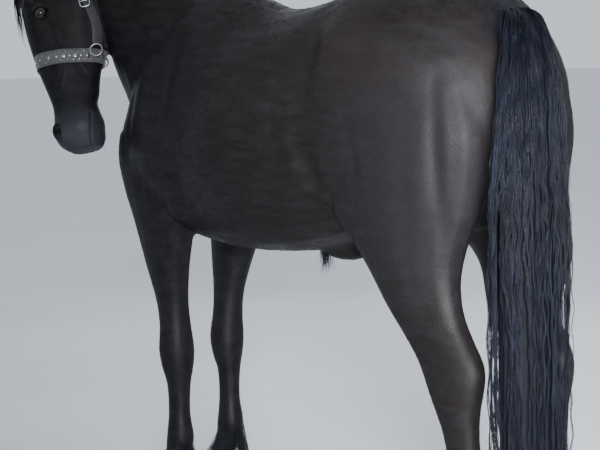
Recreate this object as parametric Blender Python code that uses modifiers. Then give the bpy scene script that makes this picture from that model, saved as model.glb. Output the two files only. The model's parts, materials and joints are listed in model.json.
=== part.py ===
"""A life-size black Friesian horse that stands with its head turned to its left.

Units are metres. +X runs from tail to chest, +Y is the horse's left and +Z is up.
The trunk and legs are laid out as they stand. The neck and head are laid out straight
and symmetric, and Turn then swings them to the left. The flesh is modelled whole and
parted with thin cuts, and the hair is joined to the part that it grows from.
"""

import math
import random

import bpy
import bmesh
import numpy as np
from mathutils import Matrix, Vector
from mathutils.bvhtree import BVHTree

# The model's place in its frame: the whole of it moves by this much at the end.
ORIGIN_SHIFT = (-0.104, -0.036, 0.0)

# Driving dimensions.
GAP = 0.0003
BODY_VOXEL = 0.011
HEAD_VOXEL = 0.0065

# How far the neck and head swing to the left, and how the head hangs from the poll.
TURN_START = (0.50, 0.0, 1.36)
HEAD_YAW = math.radians(48)
HEAD_ROLL = math.radians(19)
HEAD_TUCK = math.radians(13)
POLL = (1.125, 0.0, 1.73)

# Trunk stations along x: top, bottom, half width, height of the widest place.
TRUNK = [
    (-0.800, 1.345, 1.215, 0.080, 1.28),
    (-0.770, 1.445, 1.10, 0.162, 1.28),
    (-0.70, 1.518, 0.98, 0.226, 1.28),
    (-0.60, 1.565, 0.93, 0.270, 1.32),
    (-0.45, 1.595, 0.905, 0.290, 1.34),
    (-0.34, 1.592, 0.895, 0.288, 1.32),
    (-0.20, 1.560, 0.862, 0.278, 1.24),
    (-0.04, 1.530, 0.834, 0.298, 1.19),
    (0.12, 1.526, 0.818, 0.306, 1.16),
    (0.28, 1.575, 0.815, 0.286, 1.14),
    (0.40, 1.618, 0.825, 0.262, 1.11),
    (0.50, 1.600, 0.845, 0.248, 1.11),
    (0.62, 1.520, 0.880, 0.232, 1.12),
    (0.70, 1.400, 0.945, 0.194, 1.13),
    (0.765, 1.290, 1.01, 0.138, 1.13),
    (0.80, 1.220, 1.07, 0.080, 1.13),
]

# Neck stations: crest x and z, underline x and z, half width.
NECK = [
    (0.30, 1.575, 0.60, 1.02, 0.180),
    (0.42, 1.622, 0.755, 1.15, 0.178),
    (0.54, 1.688, 0.820, 1.26, 0.150),
    (0.66, 1.745, 0.862, 1.345, 0.130),
    (0.78, 1.785, 0.890, 1.425, 0.116),
    (0.90, 1.803, 0.905, 1.500, 0.106),
    (1.01, 1.797, 0.930, 1.560, 0.094),
    (1.09, 1.762, 0.975, 1.600, 0.076),
]

# Head stations: distance below the poll, face side, jaw side, half width, place of the widest point.
HEAD = [
    (-0.022, 0.012, -0.075, 0.036, -0.03),
    (0.00, 0.034, -0.105, 0.060, -0.03),
    (0.05, 0.066, -0.150, 0.084, -0.02),
    (0.10, 0.088, -0.182, 0.097, 0.00),
    (0.16, 0.098, -0.204, 0.103, 0.02),
    (0.22, 0.101, -0.208, 0.099, 0.03),
    (0.28, 0.100, -0.188, 0.088, 0.03),
    (0.34, 0.095, -0.156, 0.074, 0.02),
    (0.40, 0.087, -0.126, 0.064, 0.01),
    (0.46, 0.076, -0.102, 0.056, 0.00),
    (0.52, 0.067, -0.088, 0.051, 0.00),
    (0.57, 0.073, -0.080, 0.055, 0.00),
    (0.61, 0.080, -0.079, 0.060, 0.00),
    (0.65, 0.066, -0.078, 0.057, -0.005),
    (0.68, 0.032, -0.062, 0.040, -0.012),
]

# Leg stations: height, front, back, inner side, outer side. The last ones run on inside the hoof.
FORELEG = [
    (1.16, 0.740, 0.500, 0.090, 0.215),
    (1.07, 0.750, 0.450, 0.075, 0.230),
    (0.98, 0.720, 0.425, 0.070, 0.234),
    (0.91, 0.695, 0.432, 0.072, 0.228),
    (0.83, 0.680, 0.470, 0.080, 0.218),
    (0.74, 0.668, 0.510, 0.090, 0.208),
    (0.64, 0.656, 0.540, 0.100, 0.196),
    (0.56, 0.655, 0.548, 0.098, 0.198),
    (0.49, 0.664, 0.546, 0.092, 0.204),
    (0.43, 0.652, 0.552, 0.098, 0.197),
    (0.38, 0.639, 0.556, 0.111, 0.185),
    (0.29, 0.636, 0.558, 0.114, 0.182),
    (0.215, 0.642, 0.546, 0.105, 0.191),
    (0.17, 0.652, 0.560, 0.110, 0.186),
    (0.125, 0.672, 0.585, 0.108, 0.188),
    (0.085, 0.690, 0.600, 0.103, 0.193),
    (0.04, 0.700, 0.615, 0.105, 0.191),
]
HINDLEG = [
    (1.38, -0.360, -0.720, 0.110, 0.245),
    (1.28, -0.310, -0.752, 0.080, 0.262),
    (1.17, -0.270, -0.772, 0.060, 0.266),
    (1.07, -0.255, -0.762, 0.050, 0.262),
    (0.98, -0.272, -0.742, 0.058, 0.254),
    (0.90, -0.335, -0.712, 0.078, 0.250),
    (0.82, -0.415, -0.705, 0.096, 0.238),
    (0.74, -0.488, -0.735, 0.108, 0.226),
    (0.67, -0.562, -0.790, 0.112, 0.218),
    (0.615, -0.618, -0.832, 0.110, 0.217),
    (0.56, -0.656, -0.838, 0.111, 0.216),
    (0.50, -0.688, -0.826, 0.116, 0.210),
    (0.43, -0.706, -0.816, 0.125, 0.200),
    (0.32, -0.712, -0.812, 0.128, 0.197),
    (0.215, -0.718, -0.818, 0.123, 0.202),
    (0.17, -0.702, -0.802, 0.128, 0.197),
    (0.125, -0.680, -0.772, 0.126, 0.199),
    (0.085, -0.662, -0.755, 0.121, 0.204),
    (0.04, -0.652, -0.742, 0.123, 0.202),
]

# How each leg stands: side, top of the lean, height of the full shift, shift in x and y there,
# the further shift at the floor, and how far the gaskin is set back for a straighter leg.
STANCE = {
    "front_left": (1, 1.00, 0.47, (-0.059, -0.024), (0.004, 0.002), 0.0),
    "front_right": (-1, 1.00, 0.47, (0.008, -0.022), (0.004, 0.000), 0.0),
    "hind_left": (1, 0.92, 0.50, (0.066, 0.006), (-0.055, -0.020), 0.0),
    "hind_right": (-1, 0.92, 0.60, (0.036, -0.022), (0.020, 0.010), 0.075),
}
GASKIN = (0.85, 0.12)

# Muscles, bones and hollows that swell or sink the body's skin on both sides: centre, radii, height.
BODY_FORMS = [
    ((-0.50, 0.150, 1.56), (0.20, 0.10, 0.12), 0.016),
    ((-0.48, 0.000, 1.60), (0.24, 0.035, 0.10), -0.014),
    ((-0.335, 0.280, 1.430), (0.055, 0.060, 0.045), 0.016),
    ((-0.20, 0.290, 1.33), (0.085, 0.09, 0.10), -0.020),
    ((-0.57, 0.285, 1.20), (0.16, 0.09, 0.20), 0.012),
    ((-0.775, 0.130, 1.20), (0.07, 0.07, 0.13), 0.012),
    ((-0.82, 0.000, 1.15), (0.10, 0.045, 0.20), -0.030),
    ((-0.300, 0.235, 0.985), (0.055, 0.070, 0.065), 0.018),
    ((-0.235, 0.240, 1.08), (0.040, 0.08, 0.10), -0.016),
    ((-0.535, 0.240, 0.86), (0.085, 0.060, 0.11), 0.012),
    ((0.55, 0.230, 1.34), (0.050, 0.09, 0.16), 0.012),
    ((0.42, 0.250, 1.34), (0.045, 0.09, 0.13), -0.008),
    ((0.47, 0.250, 1.09), (0.110, 0.09, 0.11), 0.016),
    ((0.33, 0.270, 1.00), (0.045, 0.09, 0.14), -0.014),
    ((0.700, 0.170, 1.14), (0.060, 0.060, 0.075), 0.008),
    ((0.800, 0.075, 1.09), (0.060, 0.055, 0.085), 0.016),
    ((0.820, 0.000, 1.08), (0.060, 0.028, 0.12), -0.016),
    ((0.425, 0.215, 0.925), (0.040, 0.045, 0.045), 0.014),
    ((0.08, 0.300, 1.16), (0.22, 0.12, 0.16), 0.008),
]

# The same on the head, in its own frame: x out of the face, z up from the poll.
HEAD_FORMS = [
    ((0.062, 0.088, -0.190), (0.030, 0.030, 0.026), 0.014),
    ((0.030, 0.080, -0.140), (0.028, 0.030, 0.028), -0.010),
    ((0.028, 0.108, -0.232), (0.022, 0.030, 0.020), -0.007),
    ((-0.105, 0.085, -0.190), (0.070, 0.050, 0.075), 0.013),
    ((-0.010, 0.085, -0.315), (0.018, 0.030, 0.060), 0.006),
    ((0.045, 0.070, -0.400), (0.020, 0.040, 0.070), -0.006),
    ((-0.060, 0.070, -0.420), (0.030, 0.040, 0.070), -0.005),
    ((0.056, 0.042, -0.610), (0.030, 0.026, 0.034), 0.013),
    ((0.038, 0.052, -0.560), (0.022, 0.028, 0.024), -0.006),
    ((-0.080, 0.000, -0.600), (0.028, 0.036, 0.028), 0.007),
    ((-0.085, 0.000, -0.535), (0.025, 0.040, 0.022), -0.007),
    ((-0.205, 0.000, -0.240), (0.060, 0.026, 0.140), -0.022),
]

# Cuts between the parts: a point and the normal that points out of the part named.
NECK_CUT = ((0.63, 0.0, 1.45), (-0.80, -0.10, -0.60))
FORE_TOP = 0.955
FORE_INSIDE = 0.056
FORE_BACK = 0.395
HIND_CUTS = [
    ((-0.50, 0.0, 1.135), (0.26, 0.0, 1.0)),
    ((-0.50, 0.045, 1.0), (0.0, -1.0, 0.0)),
    ((-0.225, 0.0, 1.0), (1.0, 0.0, 0.0)),
]
HEAD_CUTS = [
    ((-0.130, 0.0, -0.050), (-0.72, 0.0, 0.70)),
    ((-0.236, 0.0, -0.14), (-1.0, 0.0, -0.28)),
]
FORE_CANNON_TOP = 0.395
HIND_CANNON_TOP = 0.480
CORONET = {"front": (0.068, 0.40), "hind": (0.070, 0.36)}
HOOF_CENTRE = {"front": (0.648, 0.148), "hind": (-0.703, 0.1625)}
HOOF = [
    (0.000, 0.076, 0.066, 0.012),
    (0.012, 0.076, 0.066, 0.010),
    (0.110, 0.052, 0.049, -0.012),
]
# The tail's middle line from its root, with its half width across y and half depth.
TAIL = [
    (-0.725, 0.014, 1.450, 0.034, 0.026),
    (-0.768, 0.034, 1.482, 0.054, 0.036),
    (-0.814, 0.060, 1.455, 0.072, 0.046),
    (-0.846, 0.080, 1.360, 0.092, 0.054),
    (-0.866, 0.098, 1.220, 0.113, 0.060),
    (-0.874, 0.114, 1.050, 0.132, 0.070),
    (-0.880, 0.122, 0.900, 0.138, 0.078),
    (-0.884, 0.124, 0.700, 0.134, 0.082),
    (-0.890, 0.127, 0.450, 0.131, 0.082),
    (-0.904, 0.123, 0.250, 0.108, 0.060),
    (-0.910, 0.120, 0.130, 0.066, 0.040),
    (-0.910, 0.120, 0.070, 0.018, 0.014),
]

# Hair grows in flat tapered locks. Each kind has its count, length, width and distance off the skin.
SEED = 11
LOCK_DEPTH = 0.30
ROOT_SUNK = 0.014
MANE_ROWS = (1.75, 6.50)
MANE_COUNT = 16
MANE_LENGTH = 0.37
MANE_WIDTH = 0.098
MANE_CLEAR = 0.022
MANE_STEPS = (0.0, 0.10, 0.30, 0.55, 0.80, 1.0)
FORELOCK_COUNT = 5
FORELOCK_WIDTH = 0.036
FORELOCK_CLEAR = 0.019
FORELOCK = [(0.006, -0.014), (0.050, 0.006), (0.092, -0.060), (0.112, -0.140), (0.118, -0.215), (0.120, -0.310)]
FORELOCK_SPREAD = (0.25, 0.35, 0.8, 1.0, 1.0, 0.8)
TAIL_CORE = 6
TAIL_CORE_SIZE = 0.66
TAIL_OUTER = 11
TAIL_INNER = 3
TAIL_WIDTH = 0.104
TAIL_SPREAD = {"outer": 0.84, "inner": 0.42}
TAIL_FRONT = 0.62
TAIL_WAVE = 0.10
FEATHER_COUNT = 6
FEATHER_TURN = math.radians(112)
FEATHER_WIDTH = 0.070
FEATHER_TOP = {"front": 0.300, "hind": 0.325}
FEATHER_AXIS = {"front": ((0.598, 0.215), (0.640, 0.03)), "hind": ((-0.768, 0.215), (-0.712, 0.03))}
FEATHER_PATH = [(0.0, 0.018), (0.36, 0.062), (0.68, 0.088), (1.0, 0.096)]
SHEATH = ((-0.105, 0.0, 0.850), (0.105, 0.040, 0.042))

# The eye and ear on the left, and the lips and nostril, in the head's own frame.
EYE_PLACE = (0.030, 0.0825, -0.232)
EYE_RADIUS = 0.0215
LID = 0.0042
EAR_PLACE = (0.014, 0.047)
EAR_SUNK = 0.018
EAR_LENGTH = 0.160
EAR = [
    (0.00, 0.019, 0.017),
    (0.16, 0.025, 0.023),
    (0.38, 0.029, 0.025),
    (0.62, 0.024, 0.019),
    (0.82, 0.014, 0.011),
    (0.95, 0.006, 0.005),
    (1.00, 0.002, 0.002),
]
MOUTH = [(-0.053, -0.572), (-0.047, -0.605), (-0.038, -0.645), (-0.030, -0.720)]
MOUTH_WIDE = 0.0016
NOSTRIL = ((0.066, 0.052, -0.612), (0.0075, 0.0150, 0.0230))

# The halter: drops below the poll, strap sizes and rings.
NOSEBAND_DROP = 0.385
NOSEBAND_HEIGHT = 0.036
STRAP_WIDTH = 0.026
STRAP_THICK = 0.0036
STRAP_CLEAR = 0.0030
CHEEK_PATH = [(-0.114, -0.360), (-0.126, -0.300), (-0.116, -0.235), (-0.100, -0.165), (-0.072, -0.095)]
CROWN_X = -0.044
CROWN_CENTRE = -0.090
CROWN_SPREAD = math.radians(52)
NOSEBAND_X = -0.028
NOSEBAND_SLOPE = 0.13
RING_PLACE = (-0.112, -0.383)
BUCKLE_PLACE = (-0.112, -0.235)
RING_SIZE = (0.0190, 0.0190)
BUCKLE_SIZE = (0.0155, 0.0190)
WIRE = 0.0030


def clear_scene():
    """Start from an empty scene."""
    for thing in list(bpy.data.objects):
        bpy.data.objects.remove(thing, do_unlink=True)


def new_collection(name):
    """Make a collection in the scene."""
    made = bpy.data.collections.new(name)
    bpy.context.scene.collection.children.link(made)
    return made


def material(name, colour, roughness, metallic=0.0):
    """Make a Principled material with one colour."""
    made = bpy.data.materials.new(name)
    made.use_nodes = True
    shader = made.node_tree.nodes["Principled BSDF"]
    shader.inputs["Base Color"].default_value = (*colour, 1.0)
    shader.inputs["Roughness"].default_value = roughness
    shader.inputs["Metallic"].default_value = metallic
    return made


def add_object(name, mesh, group):
    """Make an object for a mesh in a collection."""
    made = bpy.data.objects.new(name, mesh)
    group.objects.link(made)
    return made


def drop(things):
    """Remove objects that have done their work."""
    for thing in things:
        bpy.data.objects.remove(thing, do_unlink=True)


def lerp(a, b, t):
    """Blend two numbers or arrays."""
    return a + (b - a) * t


def smooth(t):
    """Ease a number from 0 to 1."""
    t = min(1.0, max(0.0, t))
    return t * t * (3.0 - 2.0 * t)


def spline_rows(rows, count):
    """Resample rows of numbers along a Catmull-Rom curve, evenly in row number."""
    data = np.array(rows, dtype=float)
    padded = np.vstack([2 * data[0] - data[1], data, 2 * data[-1] - data[-2]])
    made = []
    for place in np.linspace(0.0, len(data) - 1.0, count):
        k = min(int(place), len(data) - 2)
        t = place - k
        p0, p1, p2, p3 = padded[k:k + 4]
        made.append(0.5 * (2 * p1 + (p2 - p0) * t + (2 * p0 - 5 * p1 + 4 * p2 - p3) * t * t
                           + (3 * p1 - p0 - 3 * p2 + p3) * t ** 3))
    return made


def loft_mesh(name, rings):
    """Skin a row of closed rings, each an array of points, and close both ends."""
    mesh = bpy.data.meshes.new(name)
    shape = bmesh.new()
    rows = [[shape.verts.new(tuple(point)) for point in ring] for ring in rings]
    sides = len(rows[0])
    for lower, upper in zip(rows, rows[1:]):
        for k in range(sides):
            j = (k + 1) % sides
            shape.faces.new((lower[k], lower[j], upper[j], upper[k]))
    shape.faces.new(rows[0])
    shape.faces.new(rows[-1])
    bmesh.ops.recalc_face_normals(shape, faces=shape.faces)
    shape.to_mesh(mesh)
    shape.free()
    return mesh


def power(value, exponent):
    """Raise the size of a number and keep its sign."""
    return math.copysign(abs(value) ** exponent, value)


def trunk_rings(sides=28):
    """Upright rings along the trunk, rounder above than below."""
    rings = []
    for x, top, bottom, half, wide in spline_rows(TRUNK, 46):
        ring = []
        for k in range(sides):
            turn = 2 * math.pi * k / sides
            rise = math.sin(turn)
            reach = (top - wide) if rise > 0 else (wide - bottom)
            squareness = 1.06 if rise > 0 else 0.92
            ring.append((x, half * power(math.cos(turn), squareness), wide + reach * power(rise, squareness)))
        rings.append(ring)
    return rings


class Turn:
    """Swings the straight neck and head to the left, more the nearer they are to the poll."""

    def __init__(self):
        self.start = Vector(TURN_START)
        self.poll = Vector(POLL)
        steps = 60
        spot = self.start.copy()
        self.path = [spot.copy()]
        for k in range(steps):
            yaw = self.yaw((k + 0.5) / steps)
            stride = (self.poll - self.start) / steps
            spot = spot + Matrix.Rotation(yaw, 3, "Z") @ stride
            self.path.append(spot.copy())

    @staticmethod
    def yaw(part):
        """The swing at a part of the way along the neck."""
        return HEAD_YAW * part ** 0.95

    def frame(self, part):
        """The matrix that carries straight points at a part of the way to their turned place."""
        part = min(1.0, max(0.0, part))
        place = part * (len(self.path) - 1)
        k = min(int(place), len(self.path) - 2)
        spot = self.path[k].lerp(self.path[k + 1], place - k)
        rest = self.start.lerp(self.poll, part)
        spin = Matrix.Rotation(self.yaw(part), 4, "Z") @ Matrix.Rotation(HEAD_ROLL * part ** 2, 4, "X")
        return Matrix.Translation(spot) @ spin @ Matrix.Translation(-rest)

    def head(self):
        """The matrix from the head's own frame, hung from the poll with z up, to its place."""
        return self.frame(1.0) @ Matrix.Translation(self.poll) @ Matrix.Rotation(HEAD_TUCK, 4, "Y")


def neck_part(x, z):
    """How far along the neck a straight point lies, from 0 at its base to 1 at the poll."""
    along = (x - TURN_START[0]) * 0.80 + (z - TURN_START[2]) * 0.60
    full = (POLL[0] - TURN_START[0]) * 0.80 + (POLL[2] - TURN_START[2]) * 0.60
    return min(1.0, max(0.0, along / full))


def neck_rings(turn, sides=24):
    """Rings from crest to underline along the turned neck."""
    rings = []
    for cx, cz, ux, uz, half in spline_rows(NECK, 26):
        crest = Vector((cx, 0, cz))
        under = Vector((ux, 0, uz))
        middle = crest.lerp(under, 0.54)
        frame = turn.frame(neck_part(middle.x, middle.z))
        ring = []
        for k in range(sides):
            angle = 2 * math.pi * k / sides
            rise = math.sin(angle)
            end = crest if rise > 0 else under
            narrow = 1.18 if rise > 0 else 0.95
            point = middle.lerp(end, abs(rise) ** 0.96)
            point.y = half * power(math.cos(angle), narrow)
            ring.append(frame @ point)
        rings.append(ring)
    return rings


def head_rings(place, sides=24):
    """Rings down the head, from the poll to the lips."""
    rings = []
    for drop_down, face, jaw, half, wide in spline_rows(HEAD, 40):
        ring = []
        for k in range(sides):
            angle = 2 * math.pi * k / sides
            reach = math.cos(angle)
            depth = (face - wide) if reach > 0 else (wide - jaw)
            point = Vector((wide + depth * power(reach, 0.88), half * power(math.sin(angle), 0.90), -drop_down))
            ring.append(place @ point)
        rings.append(ring)
    return rings


def leg_shift(name, z):
    """How far a leg has moved from its plain stance at a height."""
    side, top, knee, at_knee, at_floor, back = STANCE[name]
    upper = smooth((top - z) / (top - knee))
    lower = max(0.0, (knee - z) / knee)
    set_back = back * math.exp(-((z - GASKIN[0]) / GASKIN[1]) ** 2)
    along = at_knee[0] * upper + at_floor[0] * lower - set_back
    return along, (at_knee[1] * upper + at_floor[1] * lower) * side


def leg_rings(name, sides=18):
    """Level rings down a leg."""
    side = STANCE[name][0]
    table = FORELEG if name.startswith("front") else HINDLEG
    rings = []
    for z, front, back, inner, outer in spline_rows(table, 46):
        dx, dy = leg_shift(name, z)
        ring = []
        for k in range(sides):
            angle = 2 * math.pi * k / sides
            x = (front + back) / 2 + (front - back) / 2 * power(math.cos(angle), 0.95) + dx
            y = side * ((inner + outer) / 2) + (outer - inner) / 2 * power(math.sin(angle), 0.95) + dy
            ring.append((x, y, z))
        rings.append(ring)
    return rings


def ellipsoid(name, centre, radii, group, rotation=None, segments=20, rings=12):
    """A stretched sphere with its scale applied."""
    bpy.ops.mesh.primitive_uv_sphere_add(segments=segments, ring_count=rings, radius=1.0)
    made = bpy.context.active_object
    made.name = name
    move_to(made, group)
    spin = rotation if rotation is not None else Matrix.Identity(4)
    made.data.transform(Matrix.Translation(centre) @ spin @ Matrix.Diagonal((*radii, 1.0)))
    return made


def move_to(thing, group):
    """Put an object in one collection only."""
    for old in list(thing.users_collection):
        old.objects.unlink(thing)
    group.objects.link(thing)


def settle(thing):
    """Apply every modifier of an object."""
    graph = bpy.context.evaluated_depsgraph_get()
    graph.update()
    mesh = bpy.data.meshes.new_from_object(thing.evaluated_get(graph), depsgraph=graph)
    thing.modifiers.clear()
    old = thing.data
    thing.data = mesh
    bpy.data.meshes.remove(old)
    return thing


def join(things, name):
    """Gather several meshes in one object."""
    shape = bmesh.new()
    for thing in things:
        copy = thing.data.copy()
        copy.transform(thing.matrix_world)
        shape.from_mesh(copy)
        bpy.data.meshes.remove(copy)
    mesh = bpy.data.meshes.new(name)
    shape.to_mesh(mesh)
    shape.free()
    made = add_object(name, mesh, things[0].users_collection[0])
    drop(things)
    return made


def remesh(thing, voxel, rounds):
    """Fuse overlapping shells into one skin and soften it."""
    fuse = thing.modifiers.new("fuse", "REMESH")
    fuse.mode = "VOXEL"
    fuse.voxel_size = voxel
    soften = thing.modifiers.new("soften", "SMOOTH")
    soften.factor = 0.5
    soften.iterations = rounds
    settle(thing)
    keep_largest(thing)
    return thing


def keep_largest(thing):
    """Keep only an object's largest closed surface."""
    shape = bmesh.new()
    shape.from_mesh(thing.data)
    seen = set()
    best = []
    for start in shape.verts:
        if start.index in seen:
            continue
        seen.add(start.index)
        stack = [start]
        patch = []
        while stack:
            spot = stack.pop()
            patch.append(spot)
            for edge in spot.link_edges:
                other = edge.other_vert(spot)
                if other.index not in seen:
                    seen.add(other.index)
                    stack.append(other)
        if len(patch) > len(best):
            best = patch
    keep = {spot.index for spot in best}
    bmesh.ops.delete(shape, geom=[v for v in shape.verts if v.index not in keep], context="VERTS")
    shape.to_mesh(thing.data)
    shape.free()


def decimate(thing, faces):
    """Thin an object's triangles out to about a number."""
    shape = bmesh.new()
    shape.from_mesh(thing.data)
    bmesh.ops.triangulate(shape, faces=shape.faces)
    shape.to_mesh(thing.data)
    shape.free()
    thin = thing.modifiers.new("thin", "DECIMATE")
    thin.ratio = min(1.0, faces / len(thing.data.polygons))
    return settle(thing)


def cut(thing, planes, grow=0.0):
    """Keep what lies behind every plane, given as a point and an outward normal, and cap the cuts."""
    shape = bmesh.new()
    shape.from_mesh(thing.data)
    for point, normal in planes:
        out = Vector(normal).normalized()
        geometry = shape.verts[:] + shape.edges[:] + shape.faces[:]
        bmesh.ops.bisect_plane(shape, geom=geometry, dist=1e-6, plane_co=Vector(point) + out * grow,
                               plane_no=out, clear_outer=True)
        open_edges = [edge for edge in shape.edges if edge.is_boundary]
        if open_edges:
            bmesh.ops.holes_fill(shape, edges=open_edges, sides=0)
    bmesh.ops.triangulate(shape, faces=shape.faces)
    bmesh.ops.recalc_face_normals(shape, faces=shape.faces)
    shape.to_mesh(thing.data)
    shape.free()
    return thing


def block(planes, grow, group):
    """The solid behind a set of planes, within a large box, grown by a little."""
    bpy.ops.mesh.primitive_cube_add(size=1.0)
    made = bpy.context.active_object
    made.name = "block"
    move_to(made, group)
    made.data.transform(Matrix.Translation((0.1, 0, 1.0)) @ Matrix.Diagonal((3.4, 1.6, 3.0, 1.0)))
    return cut(made, planes, grow)


def combine(thing, group, operation, solver="EXACT"):
    """Join a collection's objects to an object or cut them from it, then remove them."""
    change = thing.modifiers.new("combine", "BOOLEAN")
    change.operation = operation
    change.operand_type = "COLLECTION"
    change.collection = group
    change.solver = solver
    settle(thing)
    drop(list(group.objects))
    if solver == "EXACT":
        tidy(thing)
    keep_largest(thing)
    return thing


def tidy(thing):
    """Close the slivers that a cut or a union leaves."""
    shape = bmesh.new()
    shape.from_mesh(thing.data)
    bmesh.ops.remove_doubles(shape, verts=shape.verts, dist=0.00003)
    bmesh.ops.dissolve_degenerate(shape, edges=shape.edges, dist=0.00003)
    bmesh.ops.triangulate(shape, faces=shape.faces)
    shape.to_mesh(thing.data)
    shape.free()


def duplicate(thing, name, group):
    """Copy an object and its mesh."""
    copy = add_object(name, thing.data.copy(), group)
    return copy


def flipped(planes):
    """The same planes on the horse's other side."""
    return [((p[0], -p[1], p[2]), (n[0], -n[1], n[2])) for p, n in planes]


def swell(thing, forms, place):
    """Push the skin in or out along its normals round each form, mirrored about y = 0 of its frame."""
    mesh = thing.data
    count = len(mesh.vertices)
    points = np.empty(count * 3)
    mesh.vertices.foreach_get("co", points)
    points = points.reshape(-1, 3)
    normals = np.empty(count * 3)
    mesh.vertex_normals.foreach_get("vector", normals)
    normals = normals.reshape(-1, 3)
    inverse = np.array(place.inverted())
    local = points @ inverse[:3, :3].T + inverse[:3, 3]
    push = np.zeros(count)
    for centre, radii, height in forms:
        for side in ((1,) if centre[1] == 0.0 else (1, -1)):
            middle = np.array(centre) * (1, side, 1)
            far = (((local - middle) / np.array(radii)) ** 2).sum(axis=1)
            push += height * np.exp(-far)
    points += normals * push[:, None]
    mesh.vertices.foreach_set("co", points.ravel())
    mesh.update()


def build_flesh(group):
    """The body's skin in one piece, and the head and neck again at a finer grain."""
    turn = Turn()
    lofts = [add_object("trunk", loft_mesh("trunk", trunk_rings()), group)]
    for name in STANCE:
        lofts.append(add_object(name, loft_mesh(name, leg_rings(name)), group))
    neck = loft_mesh("neck_loft", neck_rings(turn))
    head = loft_mesh("head_loft", head_rings(turn.head()))
    fine = [add_object("fine_neck", neck.copy(), group), add_object("fine_head", head.copy(), group)]
    fine.append(add_object("fine_trunk", lofts[0].data.copy(), group))
    lofts.append(add_object("neck", neck, group))
    lofts.append(add_object("head", head, group))
    body = remesh(join(lofts, "body"), BODY_VOXEL, 8)
    swell(body, BODY_FORMS, Matrix.Identity(4))
    front = join(fine, "front")
    cut(front, [((0.45, 0, 1.3), (-1, 0, 0))])
    remesh(front, HEAD_VOXEL, 6)
    swell(front, HEAD_FORMS, turn.head())
    return body, front, turn


def surface(thing):
    """A tree for finding the nearest skin."""
    shape = bmesh.new()
    shape.from_mesh(thing.data)
    tree = BVHTree.FromBMesh(shape)
    shape.free()
    return tree


def piece(source, name, planes, faces, group, grow=0.0, margin=0.02):
    """Cut one part out of the skin, thinned out before the last cut."""
    made = duplicate(source, name, group)
    cut(made, planes, margin)
    decimate(made, faces)
    cut(made, planes, grow)
    keep_largest(made)
    return made


def leg_planes(name):
    """The planes that bound a whole leg."""
    side = STANCE[name][0]
    if name.startswith("front"):
        planes = [((0.0, 0.0, FORE_TOP), (-0.10, 0.0, 1.0)), ((0.0, FORE_INSIDE, 0.0), (0.0, -1.0, 0.0)),
                  ((FORE_BACK, 0.0, 0.0), (-1.0, 0.0, 0.0))]
    else:
        planes = list(HIND_CUTS)
    return planes if side > 0 else flipped(planes)


def turned_over(plane):
    """The same plane seen from its other side."""
    return (plane[0], tuple(-c for c in plane[1]))


def coronet_plane(name):
    """The slanted plane on top of a hoof, with its normal up."""
    kind = name.split("_")[0]
    height, slope = CORONET[kind]
    x, y = HOOF_CENTRE[kind]
    dx, dy = leg_shift(name, height)
    return ((x + dx, y * STANCE[name][0] + dy, height), (-slope, 0.0, 1.0))


def build_legs(body, group):
    """Each leg in an upper part, a cannon with the pastern, and a hoof."""
    made = {}
    for name in STANCE:
        side = STANCE[name][0]
        kind = name.split("_")[0]
        planes = leg_planes(name)
        split = ((0.0, 0.0, FORE_CANNON_TOP if kind == "front" else HIND_CANNON_TOP), (0.0, 0.0, -1.0))
        coronet = turned_over(coronet_plane(name))
        half = GAP / 2
        upper = piece(body, "leg_" + name, planes + [split], 520 if kind == "front" else 640, group, -half)
        lower = piece(body, "cannon_" + name, planes + [turned_over(split), coronet], 330, group, -half)
        made["leg_" + name] = upper
        made["cannon_" + name] = lower
        made["hoof_" + name] = build_hoof(name, kind, side, group)
    return made


def build_hoof(name, kind, side, group):
    """A hoof with a flat sole on the floor, cut to the slant of the coronet."""
    x, y = HOOF_CENTRE[kind]
    rings = []
    sides = 20
    for z, length, width, forward in HOOF:
        dx, dy = leg_shift(name, z)
        ring = []
        for k in range(sides):
            angle = 2 * math.pi * k / sides
            back = 0.80 if math.cos(angle) < 0 else 1.0
            ring.append((x + dx + forward + length * back * math.cos(angle),
                         y * side + dy + width * math.sin(angle), z))
        rings.append(ring)
    hoof = add_object("hoof_" + name, loft_mesh("hoof_" + name, rings), group)
    cut(hoof, [coronet_plane(name)], -GAP / 2)
    return hoof


def build_torso(body, group):
    """The trunk with its sheath, less the neck, legs and tail."""
    torso = duplicate(body, "torso", group)
    cut(torso, [turned_over(NECK_CUT), ((0, 0, 0.60), (0, 0, -1))], 0.02)
    decimate(torso, 1950)
    cut(torso, [turned_over(NECK_CUT)], -GAP / 2)
    blocks = new_collection("torso_cutters")
    for name in STANCE:
        block(leg_planes(name), GAP / 2, blocks)
    combine(torso, blocks, "DIFFERENCE")
    bpy.data.collections.remove(blocks)
    return torso


def local_planes(planes, place):
    """Planes of the head's frame, in the world."""
    spin = place.to_3x3()
    return [(tuple(place @ Vector(p)), tuple(spin @ Vector(n))) for p, n in planes]


def build_neck(front, turn, skins, group):
    """The neck with its mane, from the withers to the poll."""
    neck = piece(front, "neck", [NECK_CUT], 1150, group, -GAP / 2)
    build_mane(neck, turn, skins)
    blocks = new_collection("neck_cutters")
    block(local_planes(HEAD_CUTS, turn.head()), GAP / 2, blocks)
    combine(neck, blocks, "DIFFERENCE")
    bpy.data.collections.remove(blocks)
    return neck


def build_head(front, turn, group):
    """The head, from the poll to the lips."""
    return piece(front, "head", local_planes(HEAD_CUTS, turn.head()), 1450, group, -GAP / 2)


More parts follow.
